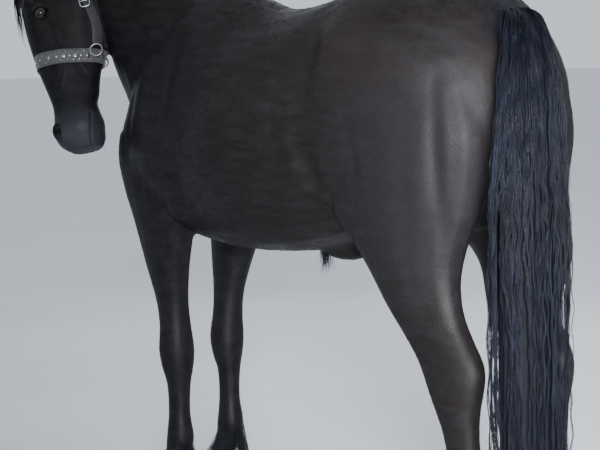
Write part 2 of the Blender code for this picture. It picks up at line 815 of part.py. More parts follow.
def tube_rings(stations, count, sides):
    """Rings round a path of points, each with a half width across y and a half depth."""
    rows = spline_rows(stations, count)
    rings = []
    for k, (x, y, z, wide, deep) in enumerate(rows):
        ahead = rows[min(k + 1, len(rows) - 1)]
        behind = rows[max(k - 1, 0)]
        run = Vector((ahead[0] - behind[0], 0, ahead[2] - behind[2])).normalized()
        out = Vector((-run.z, 0, run.x))
        ring = []
        for j in range(sides):
            angle = 2 * math.pi * j / sides
            ring.append(Vector((x, y + wide * math.sin(angle), z)) + out * deep * math.cos(angle))
        rings.append(ring)
    return rings


def tail_path(draw, start, angle, spread):
    """A lock's way down the tail at an angle round its middle line, with the way out at each step."""
    rows = spline_rows(TAIL, 34)
    steps = 8
    last = (len(rows) - 1) * draw.uniform(0.90, 0.985)
    first = (len(rows) - 1) * start
    phase = draw.uniform(0, 2 * math.pi)
    twist = draw.uniform(-0.35, 0.35)
    path = []
    outward = []
    for k in range(steps):
        part = k / (steps - 1)
        x, y, z, wide, deep = rows[int(round(lerp(first, last, part)))]
        turn = angle + twist * part
        share = spread * min(1.0, 0.25 + 2.6 * part) * (1.0 + TAIL_WAVE * math.sin(phase + 9.0 * part))
        if part == 1.0:
            share *= 0.6
        along = math.cos(turn) * deep * (TAIL_FRONT if math.cos(turn) > 0 else 1.0)
        across = math.sin(turn) * wide
        path.append(Vector((x + along * share, y + across * share, z)))
        outward.append(Vector((math.cos(turn), math.sin(turn), 0.0)))
    return path, outward


def tail_core(name, grow=0.0):
    """The dock and the dense hair round it, which end less than half way to the tips."""
    rows = []
    for k, (x, y, z, wide, deep) in enumerate(TAIL[:TAIL_CORE]):
        share = 1.0 if k == 0 else TAIL_CORE_SIZE
        share = 0.15 if k == TAIL_CORE - 1 else share
        rows.append((x, y, z, wide * share + grow, deep * share + grow))
    rows[0] = (rows[0][0] + grow, *rows[0][1:])
    return loft_mesh(name, tube_rings(rows, 9, 10))


def build_tail(torso, group):
    """The tail, seated in a shallow recess of the croup: a short core with locks down to the tips."""
    tail = add_object("tail", tail_core("tail"), group)
    draw = random.Random(SEED + 3)
    pieces = new_collection("tail_locks")
    for kind, count in (("outer", TAIL_OUTER), ("inner", TAIL_INNER)):
        for k in range(count):
            angle = 2 * math.pi * (k + draw.uniform(-0.15, 0.15)) / count
            start = draw.uniform(0.17, 0.26)
            path, outward = tail_path(draw, start, angle, TAIL_SPREAD[kind] * draw.uniform(0.94, 1.03))
            lock("tail_lock", path, outward, TAIL_WIDTH * draw.uniform(0.9, 1.15), pieces)
    combine(tail, pieces, "UNION", "MANIFOLD")
    bpy.data.collections.remove(pieces)
    seat = new_collection("seat_cutters")
    add_object("seat", tail_core("seat", 3 * GAP), seat)
    combine(torso, seat, "DIFFERENCE")
    bpy.data.collections.remove(seat)


def ear_mesh(name, grow, forward=0.0, shrink=1.0, first=0.0, last=1.0, sides=8):
    """A leaf-shaped ear along z that opens toward x."""
    rings = []
    for part, deep, wide in spline_rows(EAR, 7):
        at = lerp(first, last, part)
        bend = 0.010 * at * at
        height = at * EAR_LENGTH - (grow if part == 0.0 else 0.0)
        rings.append([((deep * shrink + grow) * math.cos(turn) + forward + bend,
                       (wide * shrink + grow) * math.sin(turn), height)
                      for turn in (2 * math.pi * k / sides for k in range(sides))])
    return loft_mesh(name, rings)


def ear_frame(turn, skin, side):
    """Where an ear stands: sunk in the skin of the poll and turned a little outward."""
    place = turn.head()
    high = place @ Vector((EAR_PLACE[0], EAR_PLACE[1] * side, 0.20))
    down = (place.to_3x3() @ Vector((0, 0, -1))).normalized()
    hit = skin.ray_cast(high, down)[0]
    foot = place.inverted() @ (hit + down * EAR_SUNK)
    lean = Matrix.Rotation(math.radians(-17 * side), 4, "X") @ Matrix.Rotation(math.radians(-4), 4, "Y")
    return place @ Matrix.Translation(foot) @ lean @ Matrix.Rotation(math.radians(38 * side), 4, "Z")


def build_ears(head, turn, skin, group):
    """Two cupped ears, each seated in a recess of the head."""
    seats = new_collection("ear_cutters")
    for side, name in ((1, "ear_left"), (-1, "ear_right")):
        frame = ear_frame(turn, skin, side)
        ear = add_object(name, ear_mesh(name, 0.0), group)
        cups = new_collection("cups")
        add_object("cup", ear_mesh("cup", 0.0, 0.017, 0.80, 0.20, 0.94), cups)
        combine(ear, cups, "DIFFERENCE")
        bpy.data.collections.remove(cups)
        ear.data.transform(frame)
        seat = add_object("seat", ear_mesh("seat", 1.5 * GAP), seats)
        seat.data.transform(frame)
    combine(head, seats, "DIFFERENCE", "MANIFOLD")
    bpy.data.collections.remove(seats)


def arc_tube(name, points, radius, group):
    """A closed round tube through points, as a mesh."""
    curve = bpy.data.curves.new(name, "CURVE")
    curve.dimensions = "3D"
    curve.bevel_depth = radius
    curve.bevel_resolution = 0
    curve.use_fill_caps = True
    line = curve.splines.new("POLY")
    line.points.add(len(points) - 1)
    for k, point in enumerate(points):
        line.points[k].co = (*point, 1.0)
        line.points[k].radius = 0.35 + 0.65 * math.sin(math.pi * (k + 0.5) / len(points))
    drawn = add_object(name, curve, group)
    graph = bpy.context.evaluated_depsgraph_get()
    mesh = bpy.data.meshes.new_from_object(drawn.evaluated_get(graph))
    shape = bmesh.new()
    shape.from_mesh(mesh)
    bmesh.ops.remove_doubles(shape, verts=shape.verts, dist=0.00005)
    shape.to_mesh(mesh)
    shape.free()
    drop([drawn])
    return add_object(name, mesh, group)


def build_eyes(head, turn, group):
    """Two eyeballs in sockets, with lids joined to the head."""
    place = turn.head()
    lids = new_collection("lids")
    sockets = new_collection("sockets")
    for side, name in ((1, "eye_left"), (-1, "eye_right")):
        centre = Vector((EYE_PLACE[0], EYE_PLACE[1] * side, EYE_PLACE[2]))
        for rise in (1, -1):
            points = []
            for k in range(8):
                angle = math.pi * (k + 0.25) / 7.5
                tall = 0.62 if rise > 0 else 0.52
                flat = Vector((math.cos(angle) * 0.95, 0, rise * math.sin(angle) * tall))
                flat.y = side * math.sqrt(max(0.02, 1.0 - flat.x ** 2 - flat.z ** 2))
                points.append(place @ (centre + flat * (EYE_RADIUS + 0.4 * LID)))
            arc_tube("lid", points, LID, lids)
        ellipsoid(name, place @ centre, (EYE_RADIUS,) * 3, group, segments=12, rings=7)
        ellipsoid("socket", place @ centre, (EYE_RADIUS + 1.5 * GAP,) * 3, sockets, segments=12, rings=7)
    combine(head, lids, "UNION", "MANIFOLD")
    combine(head, sockets, "DIFFERENCE", "MANIFOLD")
    bpy.data.collections.remove(lids)
    bpy.data.collections.remove(sockets)


def carve_face(head, turn):
    """Cut the line of the mouth and the nostrils into the head."""
    place = turn.head()
    cutters = new_collection("face_cutters")
    rings = []
    for k, (x, z) in enumerate(MOUTH):
        thick = MOUTH_WIDE * (0.5 if k == 0 else 1.0)
        rings.append([place @ Vector((x + sx * thick, sy * 0.09, z)) for sx, sy in
                      ((-1, -1), (1, -1), (1, 1), (-1, 1))])
    add_object("mouth", loft_mesh("mouth", rings), cutters)
    for side in (1, -1):
        centre = place @ Vector((NOSTRIL[0][0], NOSTRIL[0][1] * side, NOSTRIL[0][2]))
        spin = place.to_3x3().to_4x4() @ Matrix.Rotation(math.radians(38 * side), 4, "Z")
        ellipsoid("nostril", centre, NOSTRIL[1], cutters, spin @ Matrix.Rotation(0.35, 4, "Y"), 12, 8)
    combine(head, cutters, "DIFFERENCE", "MANIFOLD")
    bpy.data.collections.remove(cutters)


class Probe:
    """Finds the skin of finished parts from inside them, in the head's own frame."""

    def __init__(self, things, place):
        shape = bmesh.new()
        for thing in things:
            shape.from_mesh(thing.data)
        bmesh.ops.transform(shape, matrix=place.inverted(), verts=shape.verts)
        self.tree = BVHTree.FromBMesh(shape)
        shape.free()

    def hit(self, inside, way):
        """The skin met from inside along a way."""
        return self.tree.ray_cast(inside, way)[0]


def band_mesh(name, rows, closed):
    """A strap or wire from rows of corners, closed in a loop or with both ends capped."""
    mesh = bpy.data.meshes.new(name)
    shape = bmesh.new()
    made = [[shape.verts.new(point) for point in row] for row in rows]
    pairs = list(zip(made, made[1:])) + ([(made[-1], made[0])] if closed else [])
    for here, there in pairs:
        for k in range(len(here)):
            j = (k + 1) % len(here)
            shape.faces.new((here[k], here[j], there[j], there[k]))
    if not closed:
        shape.faces.new(made[0])
        shape.faces.new(made[-1])
    bmesh.ops.triangulate(shape, faces=shape.faces, quad_method="FIXED")
    bmesh.ops.recalc_face_normals(shape, faces=shape.faces)
    shape.to_mesh(mesh)
    shape.free()
    return mesh


def corners(edges, middle, grow=0.0):
    """Four corners of a strap's section from its two edges on the skin, pushed out from a middle."""
    across = (edges[0] - edges[1]).normalized() * grow
    made = []
    for edge, side in zip(edges, (1, -1)):
        out = (edge - middle).normalized()
        made.append([edge + across * side + out * (STRAP_CLEAR - grow),
                     edge + across * side + out * (STRAP_CLEAR + STRAP_THICK + grow)])
    return [made[0][0], made[0][1], made[1][1], made[1][0]]


def build_noseband(probe, grow=0.0):
    """A flat band round the nose."""
    rows = []
    count = 24
    centre = Vector((NOSEBAND_X, 0, -NOSEBAND_DROP))
    for k in range(count):
        angle = 2 * math.pi * k / count
        way = Vector((math.cos(angle), math.sin(angle), NOSEBAND_SLOPE * math.cos(angle)))
        edges = [probe.hit(centre + Vector((0, 0, rise * NOSEBAND_HEIGHT)), way) for rise in (0.5, -0.5)]
        rows.append(corners(edges, centre, grow))
    return band_mesh("halter_noseband", rows, True)


def cheek_rows(probe, side, grow):
    """The cheekpiece's rows of corners up one side of the jaw."""
    path = spline_rows([(x, 0.0, z) for x, z in CHEEK_PATH], 11)
    rows = []
    for k, spot in enumerate(path):
        ahead = path[min(k + 1, len(path) - 1)]
        behind = path[max(k - 1, 0)]
        run = Vector((ahead[0] - behind[0], 0, ahead[2] - behind[2])).normalized()
        across = Vector((run.z, 0, -run.x)) * STRAP_WIDTH
        edges = [probe.hit(Vector(spot) + across * half, Vector((0, side, 0))) for half in (0.5, -0.5)]
        rows.append(corners(edges, Vector((NOSEBAND_X, 0.0, spot[2])), grow))
    return rows


def build_headpiece(probe, grow=0.0):
    """A strap up one cheek, over the poll and down the other cheek."""
    centre = Vector((CROWN_X, 0, CROWN_CENTRE))
    crown = []
    steps = 9
    for k in range(steps):
        angle = lerp(CROWN_SPREAD, -CROWN_SPREAD, k / (steps - 1))
        way = Vector((0, math.sin(angle), math.cos(angle)))
        edges = [probe.hit(centre + Vector((half * STRAP_WIDTH, 0, 0)), way) for half in (0.5, -0.5)]
        crown.append(corners(edges, centre, grow))
    rows = cheek_rows(probe, 1, grow) + crown + cheek_rows(probe, -1, grow)[::-1]
    return band_mesh("halter_headpiece", rows, False)


def build_fitting(name, probe, place, size, side):
    """A flat wire ring or buckle frame that lies on the straps at a place on the cheek."""
    steps = 12
    loop = []
    for k in range(steps):
        angle = 2 * math.pi * k / steps
        loop.append(Vector((place[0] + size[0] * math.cos(angle), 0.0, place[1] + size[1] * math.sin(angle))))
    up = Vector((0, side, 0))
    skins = [probe.hit(spot, up) for spot in loop]
    highest = max(side * skin.y for skin in skins if skin is not None)
    lift = up * (highest + STRAP_CLEAR + STRAP_THICK + WIRE + 2 * GAP)
    rows = []
    for spot in loop:
        out = (spot - Vector((place[0], 0.0, place[1]))).normalized() * WIRE
        rows.append([spot + lift + out * math.cos(turn) + up * WIRE * math.sin(turn)
                     for turn in (2 * math.pi * j / 5 for j in range(5))])
    return band_mesh(name, rows, True)


def build_halter(head, neck, turn, group):
    """A noseband, a headpiece over the poll, a ring on each cheek and a buckle on the left.

    The head and throat are cut back wherever they would stand closer to a strap than the gap.
    """
    place = turn.head()
    probe = Probe([head], place)
    meshes = [build_noseband(probe), build_headpiece(probe),
              build_fitting("halter_ring_left", probe, RING_PLACE, RING_SIZE, 1),
              build_fitting("halter_ring_right", probe, RING_PLACE, RING_SIZE, -1),
              build_fitting("halter_buckle", probe, BUCKLE_PLACE, BUCKLE_SIZE, 1)]
    for mesh in meshes:
        add_object(mesh.name, mesh, group)
        mesh.transform(place)
    for thing in (head, neck):
        room = new_collection("halter_room")
        for mesh in (build_noseband(probe, 3 * GAP), build_headpiece(probe, 3 * GAP)):
            mesh.transform(place)
            add_object("room", mesh, room)
        combine(thing, room, "DIFFERENCE", "MANIFOLD")
        bpy.data.collections.remove(room)


def lock(name, path, outward, width, group):
    """A flat closed lock along a path, widest near its upper third and ending in a point."""
    mesh = bpy.data.meshes.new(name)
    shape = bmesh.new()
    rings = []
    for k, spot in enumerate(path[:-1]):
        run = (path[k + 1] - path[max(k - 1, 0)]).normalized()
        across = run.cross(outward[k]).normalized()
        out = across.cross(run)
        part = k / (len(path) - 1)
        half = 0.5 * width * (0.50 + 0.50 * math.sin(math.pi * part ** 0.75)) * (1.0 - 0.35 * part)
        ring = [across * half, out * half * LOCK_DEPTH, -across * half, -out * half * LOCK_DEPTH]
        rings.append([shape.verts.new(spot + corner) for corner in ring])
    tip = shape.verts.new(path[-1])
    for upper, lower in zip(rings, rings[1:]):
        for k in range(4):
            j = (k + 1) % 4
            shape.faces.new((upper[k], upper[j], lower[j], lower[k]))
    for k in range(4):
        shape.faces.new((rings[-1][k], rings[-1][(k + 1) % 4], tip))
    shape.faces.new(rings[0])
    bmesh.ops.triangulate(shape, faces=shape.faces)
    bmesh.ops.recalc_face_normals(shape, faces=shape.faces)
    shape.to_mesh(mesh)
    shape.free()
    return add_object(name, mesh, group)


def stand_off(point, skins, clear):
    """Push a point out until it is clear of every skin, and give the way out there."""
    way = Vector((0, 0, 1))
    for skin in skins:
        near, normal = skin.find_nearest(point)[:2]
        way = normal
        if (point - near).dot(normal) < clear:
            point = near + normal * clear
    return point, way


def build_mane(neck, turn, skins):
    """The mane, rooted along the crest and falling to the right."""
    draw = random.Random(SEED)
    pieces = new_collection("mane")
    table = np.array(NECK)
    for k in range(MANE_COUNT):
        at = lerp(*MANE_ROWS, (k + draw.uniform(0.35, 0.65)) / MANE_COUNT)
        row = int(at)
        cx, cz, ux, uz, half = lerp(table[row], table[row + 1], at - row)
        frame = turn.frame(neck_part(lerp(cx, ux, 0.5), lerp(cz, uz, 0.5)))
        length = MANE_LENGTH * draw.uniform(0.84, 1.08)
        clear = MANE_CLEAR * (1.0 + 0.45 * (k % 2))
        sway = draw.uniform(-0.045, 0.020)
        path = [frame @ Vector((cx, 0.0, cz - ROOT_SUNK))]
        outward = [frame.to_3x3() @ Vector((0, -1, 0.6))]
        for part in MANE_STEPS[1:]:
            spot = Vector((cx + sway * part, -0.010 - half * min(1.0, 3.0 * part), cz - length * part + 0.02))
            spot, way = stand_off(frame @ spot, skins, clear)
            path.append(spot)
            outward.append(way)
        lock("mane", path, outward, MANE_WIDTH * draw.uniform(0.85, 1.1), pieces)
    combine(neck, pieces, "UNION", "MANIFOLD")
    bpy.data.collections.remove(pieces)


def build_forelock(head, turn, skin):
    """The forelock, rooted between the ears and hanging down the face."""
    draw = random.Random(SEED + 1)
    pieces = new_collection("forelock")
    place = turn.head()
    out = place.to_3x3() @ Vector((1, 0, 0.25))
    up = place.to_3x3() @ Vector((0, 0, 1))
    for k in range(FORELOCK_COUNT):
        aside = lerp(-0.046, 0.046, k / (FORELOCK_COUNT - 1))
        short = draw.uniform(0.80, 1.0) - 0.10 * abs(k - 2)
        path = []
        for j, (x, z) in enumerate(FORELOCK):
            drop_down = z * (short if j > 2 else 1.0)
            spot = place @ Vector((x + 0.004 * (k % 2), aside * FORELOCK_SPREAD[j], drop_down))
            path.append(spot if j < 2 else stand_off(spot, [skin], FORELOCK_CLEAR)[0])
        lock("forelock", path, [up, up, up + out] + [out] * (len(path) - 3), FORELOCK_WIDTH, pieces)
    combine(head, pieces, "UNION", "MANIFOLD")
    bpy.data.collections.remove(pieces)


def build_feathers(legs):
    """The feather of each leg: locks from behind the cannon down over the sides and back of the hoof."""
    draw = random.Random(SEED + 2)
    for name in STANCE:
        kind = name.split("_")[0]
        pieces = new_collection("feather")
        y = HOOF_CENTRE[kind][1] * STANCE[name][0]
        (high_x, high_z), (low_x, low_z) = FEATHER_AXIS[kind]
        for k in range(FEATHER_COUNT):
            share = 2.0 * k / (FEATHER_COUNT - 1) - 1.0
            turn = math.pi + FEATHER_TURN * share + draw.uniform(-0.06, 0.06)
            top = FEATHER_TOP[kind] - 0.10 * abs(share) + draw.uniform(-0.012, 0.012)
            tip = low_z + 0.016 * (k % 2) + draw.uniform(0.0, 0.012)
            out = Vector((math.cos(turn), math.sin(turn), 0.0))
            path = []
            for part, reach in FEATHER_PATH:
                z = lerp(top, tip, part)
                dx, dy = leg_shift(name, z)
                x = lerp(low_x, high_x, min(1.0, (z - low_z) / (high_z - low_z)))
                path.append(Vector((x + dx, y + dy, z)) + out * reach)
            lock("feather", path, [out] * len(path), FEATHER_WIDTH, pieces)
        combine(legs["cannon_" + name], pieces, "UNION", "MANIFOLD")
        bpy.data.collections.remove(pieces)


def build_sheath(body):
    """A low swelling under the belly, fused to the skin before the cuts."""
    pieces = new_collection("sheath")
    ellipsoid("sheath", SHEATH[0], SHEATH[1], pieces, segments=24, rings=14)
    combine(body, pieces, "UNION")
    bpy.data.collections.remove(pieces)


def place_all(group):
    """Move the finished model to its frame and give each part its material."""
    looks = {
        "hoof": material("hoof_horn", (0.020, 0.018, 0.018), 0.5),
        "eye": material("eye_gloss", (0.012, 0.008, 0.006), 0.08),
        "halter": material("halter_strap", (0.30, 0.30, 0.32), 0.5),
        "coat": material("black_coat", (0.012, 0.011, 0.013), 0.6),
        "hair": material("black_hair", (0.010, 0.011, 0.015), 0.5),
    }
    for thing in group.objects:
        kind = thing.name.split("_")[0]
        look = looks.get(kind, looks["hair"] if kind == "tail" else looks["coat"])
        thing.data.materials.clear()
        thing.data.materials.append(look)
        thing.data.transform(Matrix.Translation(ORIGIN_SHIFT))
        thing.data.shade_smooth()


def main():
    """Build the horse."""
    clear_scene()
    group = new_collection("friesian_horse")
    body, front, turn = build_flesh(group)
    skin = surface(front)
    skins = [surface(body), skin]
    build_sheath(body)
    legs = build_legs(body, group)
    build_feathers(legs)
    torso = build_torso(body, group)
    neck = build_neck(front, turn, skins, group)
    head = build_head(front, turn, group)
    carve_face(head, turn)
    build_ears(head, turn, skin, group)
    build_eyes(head, turn, group)
    build_halter(head, neck, turn, group)
    build_forelock(head, turn, skin)
    build_tail(torso, group)
    drop([body, front])
    place_all(group)


main()
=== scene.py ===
"""The finished look of a life-size black Friesian horse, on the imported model's frame.

Units are metres. +X runs from tail to chest, +Y is the horse's left and +Z is up. The skin
is grown from the same stations as the solids, at a finer grain, and lies inside them by the
coat's depth. All hair is solid mesh: short tufts over the skin, and long strands in clumps
for the mane, forelock, tail and feathers.
"""

import json
import math

import bpy
import bmesh
import numpy as np
from mathutils import Matrix, Vector
from mathutils.bvhtree import BVHTree

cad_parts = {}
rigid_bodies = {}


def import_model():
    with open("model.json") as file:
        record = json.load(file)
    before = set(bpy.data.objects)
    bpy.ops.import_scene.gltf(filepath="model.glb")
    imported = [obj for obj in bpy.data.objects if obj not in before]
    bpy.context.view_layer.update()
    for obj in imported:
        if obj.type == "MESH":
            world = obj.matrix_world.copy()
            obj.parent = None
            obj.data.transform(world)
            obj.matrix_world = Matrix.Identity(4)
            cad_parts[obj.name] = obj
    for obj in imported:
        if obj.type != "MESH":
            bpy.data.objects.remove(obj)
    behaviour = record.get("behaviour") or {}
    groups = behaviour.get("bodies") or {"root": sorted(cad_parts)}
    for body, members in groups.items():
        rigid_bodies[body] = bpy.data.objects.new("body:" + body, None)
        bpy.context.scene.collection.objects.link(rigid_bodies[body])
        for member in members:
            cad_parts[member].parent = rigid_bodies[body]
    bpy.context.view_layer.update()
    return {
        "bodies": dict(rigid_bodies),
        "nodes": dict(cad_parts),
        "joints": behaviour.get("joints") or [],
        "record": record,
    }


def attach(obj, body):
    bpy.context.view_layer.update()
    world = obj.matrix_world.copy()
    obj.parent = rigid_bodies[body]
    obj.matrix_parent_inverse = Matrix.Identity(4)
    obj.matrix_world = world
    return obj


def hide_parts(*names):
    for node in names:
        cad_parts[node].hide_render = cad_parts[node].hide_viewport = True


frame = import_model()

# The frame's origin lies this far from the one that the stations below are measured in.
SHIFT = Vector((-0.104, -0.036, 0.0))

# The skin lies this far inside the solids.
COAT_DEPTH = 0.0025
SKIN_VOXEL = 0.0072
FINEST_VOXEL = 0.0055

# Rounds of smoothing at the finest size: all over, and then of the body alone. The head keeps its forms
# within a reach of the poll, which then fades.
SKIN_ROUNDS = 9
BODY_ROUNDS = 22
HEAD_REACH = (0.40, 0.20)

SEED = 7
FINE = 1.0

# The camera, in the stations' frame: place, yaw, pitch and roll, and lens and film in millimetres.
CAMERA_PLACE = (-3.284, 2.893, 1.357)
CAMERA_TURN = (math.radians(-40.6), math.radians(-5.9), -0.019)
CAMERA_LENS = 92.2
CAMERA_SENSOR = 36.0

# How far the neck and head swing to the left, and how the head hangs from the poll.
TURN_START = (0.50, 0.0, 1.36)
HEAD_YAW = math.radians(48)
HEAD_ROLL = math.radians(19)
HEAD_TUCK = math.radians(13)
POLL = (1.125, 0.0, 1.73)
NECK_WAY = (0.80, 0.60)
TURN_STEPS = 60

# How many rings each form of the body is drawn with, and how many corners a ring has.
TRUNK_GRID = (46, 28)
NECK_GRID = (26, 24)
HEAD_GRID = (40, 24)
LEG_GRID = (46, 18)
SHEATH_GRID = (14, 16)
EAR_GRID = (22, 14)

# Trunk stations along x: top, bottom, half width, height of the widest place.
TRUNK = [
    (-0.800, 1.345, 1.215, 0.080, 1.28),
    (-0.770, 1.445, 1.10, 0.162, 1.28),
    (-0.70, 1.518, 0.98, 0.226, 1.28),
    (-0.60, 1.565, 0.93, 0.270, 1.32),
    (-0.45, 1.595, 0.905, 0.290, 1.34),
    (-0.34, 1.592, 0.895, 0.288, 1.32),
    (-0.20, 1.560, 0.862, 0.278, 1.24),
    (-0.04, 1.530, 0.834, 0.298, 1.19),
    (0.12, 1.526, 0.818, 0.306, 1.16),
    (0.28, 1.575, 0.815, 0.286, 1.14),
    (0.40, 1.618, 0.825, 0.262, 1.11),
    (0.50, 1.600, 0.845, 0.248, 1.11),
    (0.62, 1.520, 0.880, 0.232, 1.12),
    (0.70, 1.400, 0.945, 0.194, 1.13),
    (0.765, 1.290, 1.01, 0.138, 1.13),
    (0.80, 1.220, 1.07, 0.080, 1.13),
]

# Neck stations: crest x and z, underline x and z, half width.
NECK = [
    (0.30, 1.575, 0.60, 1.02, 0.180),
    (0.42, 1.622, 0.755, 1.15, 0.178),
    (0.54, 1.688, 0.820, 1.26, 0.150),
    (0.66, 1.745, 0.862, 1.345, 0.130),
    (0.78, 1.785, 0.890, 1.425, 0.116),
    (0.90, 1.803, 0.905, 1.500, 0.106),
    (1.01, 1.797, 0.930, 1.560, 0.094),
    (1.09, 1.762, 0.975, 1.600, 0.076),
]

# Head stations: distance below the poll, face side, jaw side, half width, place of the widest point.
HEAD = [
    (-0.022, 0.012, -0.075, 0.036, -0.03),
    (0.00, 0.034, -0.105, 0.060, -0.03),
    (0.05, 0.066, -0.150, 0.084, -0.02),
    (0.10, 0.088, -0.182, 0.097, 0.00),
    (0.16, 0.098, -0.204, 0.103, 0.02),
    (0.22, 0.101, -0.208, 0.099, 0.03),
    (0.28, 0.100, -0.188, 0.088, 0.03),
    (0.34, 0.095, -0.156, 0.074, 0.02),
    (0.40, 0.087, -0.126, 0.064, 0.01),
    (0.46, 0.076, -0.102, 0.056, 0.00),
    (0.52, 0.067, -0.088, 0.051, 0.00),
    (0.57, 0.073, -0.080, 0.055, 0.00),
    (0.61, 0.080, -0.079, 0.060, 0.00),
    (0.65, 0.066, -0.078, 0.057, -0.005),
    (0.68, 0.032, -0.062, 0.040, -0.012),
]

# Leg stations: height, front, back, inner side, outer side. The last ones run on inside the hoof.
FORELEG = [
    (1.16, 0.740, 0.500, 0.090, 0.215),
    (1.07, 0.750, 0.450, 0.075, 0.230),
    (0.98, 0.720, 0.425, 0.070, 0.234),
    (0.91, 0.695, 0.432, 0.072, 0.228),
    (0.83, 0.680, 0.470, 0.080, 0.218),
    (0.74, 0.668, 0.510, 0.090, 0.208),
    (0.64, 0.656, 0.540, 0.100, 0.196),
    (0.56, 0.655, 0.548, 0.098, 0.198),
    (0.49, 0.664, 0.546, 0.092, 0.204),
    (0.43, 0.652, 0.552, 0.098, 0.197),
    (0.38, 0.639, 0.556, 0.111, 0.185),
    (0.29, 0.636, 0.558, 0.114, 0.182),
    (0.215, 0.642, 0.546, 0.105, 0.191),
    (0.17, 0.652, 0.560, 0.110, 0.186),
    (0.125, 0.672, 0.585, 0.108, 0.188),
    (0.085, 0.690, 0.600, 0.103, 0.193),
    (0.04, 0.700, 0.615, 0.105, 0.191),
]
HINDLEG = [
    (1.38, -0.360, -0.720, 0.110, 0.245),
    (1.28, -0.310, -0.752, 0.080, 0.262),
    (1.17, -0.270, -0.772, 0.060, 0.266),
    (1.07, -0.255, -0.762, 0.050, 0.262),
    (0.98, -0.272, -0.742, 0.058, 0.254),
    (0.90, -0.335, -0.712, 0.078, 0.250),
    (0.82, -0.415, -0.705, 0.096, 0.238),
    (0.74, -0.488, -0.735, 0.108, 0.226),
    (0.67, -0.562, -0.790, 0.112, 0.218),
    (0.615, -0.618, -0.832, 0.110, 0.217),
    (0.56, -0.656, -0.838, 0.111, 0.216),
    (0.50, -0.688, -0.826, 0.116, 0.210),
    (0.43, -0.706, -0.816, 0.125, 0.200),
    (0.32, -0.712, -0.812, 0.128, 0.197),
    (0.215, -0.718, -0.818, 0.123, 0.202),
    (0.17, -0.702, -0.802, 0.128, 0.197),
    (0.125, -0.680, -0.772, 0.126, 0.199),
    (0.085, -0.662, -0.755, 0.121, 0.204),
    (0.04, -0.652, -0.742, 0.123, 0.202),
]

# How each leg stands: side, top of the lean, height of the full shift, shift in x and y there,
# the further shift at the floor, and how far the gaskin is set back for a straighter leg.
STANCE = {
    "front_left": (1, 1.00, 0.47, (-0.059, -0.024), (0.004, 0.002), 0.0),
    "front_right": (-1, 1.00, 0.47, (0.008, -0.022), (0.004, 0.000), 0.0),
    "hind_left": (1, 0.92, 0.50, (0.066, 0.006), (-0.055, -0.020), 0.0),
    "hind_right": (-1, 0.92, 0.60, (0.036, -0.022), (0.020, 0.010), 0.075),
}
GASKIN = (0.85, 0.12)

# Muscles, bones and hollows that swell or sink the body's skin on both sides: centre, radii, height.
BODY_FORMS = [
    ((-0.50, 0.150, 1.56), (0.20, 0.10, 0.12), 0.016),
    ((-0.48, 0.000, 1.60), (0.24, 0.035, 0.10), -0.014),
    ((-0.335, 0.280, 1.430), (0.055, 0.060, 0.045), 0.016),
    ((-0.20, 0.290, 1.33), (0.085, 0.09, 0.10), -0.020),
    ((-0.57, 0.285, 1.20), (0.16, 0.09, 0.20), 0.012),
    ((-0.775, 0.130, 1.20), (0.07, 0.07, 0.13), 0.012),
    ((-0.82, 0.000, 1.15), (0.10, 0.045, 0.20), -0.030),
    ((-0.300, 0.235, 0.985), (0.055, 0.070, 0.065), 0.018),
    ((-0.235, 0.240, 1.08), (0.040, 0.08, 0.10), -0.016),
    ((-0.535, 0.240, 0.86), (0.085, 0.060, 0.11), 0.012),
    ((0.55, 0.230, 1.34), (0.050, 0.09, 0.16), 0.012),
    ((0.42, 0.250, 1.34), (0.045, 0.09, 0.13), -0.008),
    ((0.47, 0.250, 1.09), (0.110, 0.09, 0.11), 0.016),
    ((0.33, 0.270, 1.00), (0.045, 0.09, 0.14), -0.014),
    ((0.700, 0.170, 1.14), (0.060, 0.060, 0.075), 0.008),
    ((0.800, 0.075, 1.09), (0.060, 0.055, 0.085), 0.016),
    ((0.820, 0.000, 1.08), (0.060, 0.028, 0.12), -0.016),
    ((0.425, 0.215, 0.925), (0.040, 0.045, 0.045), 0.014),
    ((0.08, 0.300, 1.16), (0.22, 0.12, 0.16), 0.008),
]

# The same on the head, in its own frame: x out of the face, z up from the poll.
HEAD_FORMS = [
    ((0.062, 0.088, -0.190), (0.030, 0.030, 0.026), 0.014),
    ((0.030, 0.080, -0.140), (0.028, 0.030, 0.028), -0.010),
    ((0.028, 0.108, -0.232), (0.022, 0.030, 0.020), -0.007),
    ((-0.105, 0.085, -0.190), (0.070, 0.050, 0.075), 0.013),
    ((-0.010, 0.085, -0.315), (0.018, 0.030, 0.060), 0.006),
    ((0.045, 0.070, -0.400), (0.020, 0.040, 0.070), -0.006),
    ((-0.060, 0.070, -0.420), (0.030, 0.040, 0.070), -0.005),
    ((0.056, 0.042, -0.610), (0.030, 0.026, 0.034), 0.013),
    ((0.038, 0.052, -0.560), (0.022, 0.028, 0.024), -0.006),
    ((-0.080, 0.000, -0.600), (0.028, 0.036, 0.028), 0.007),
    ((-0.085, 0.000, -0.535), (0.025, 0.040, 0.022), -0.007),
    ((-0.205, 0.000, -0.240), (0.060, 0.026, 0.140), -0.022),
]

# The low swelling under the belly: centre and radii.
SHEATH = ((-0.105, 0.0, 0.850), (0.105, 0.040, 0.042))

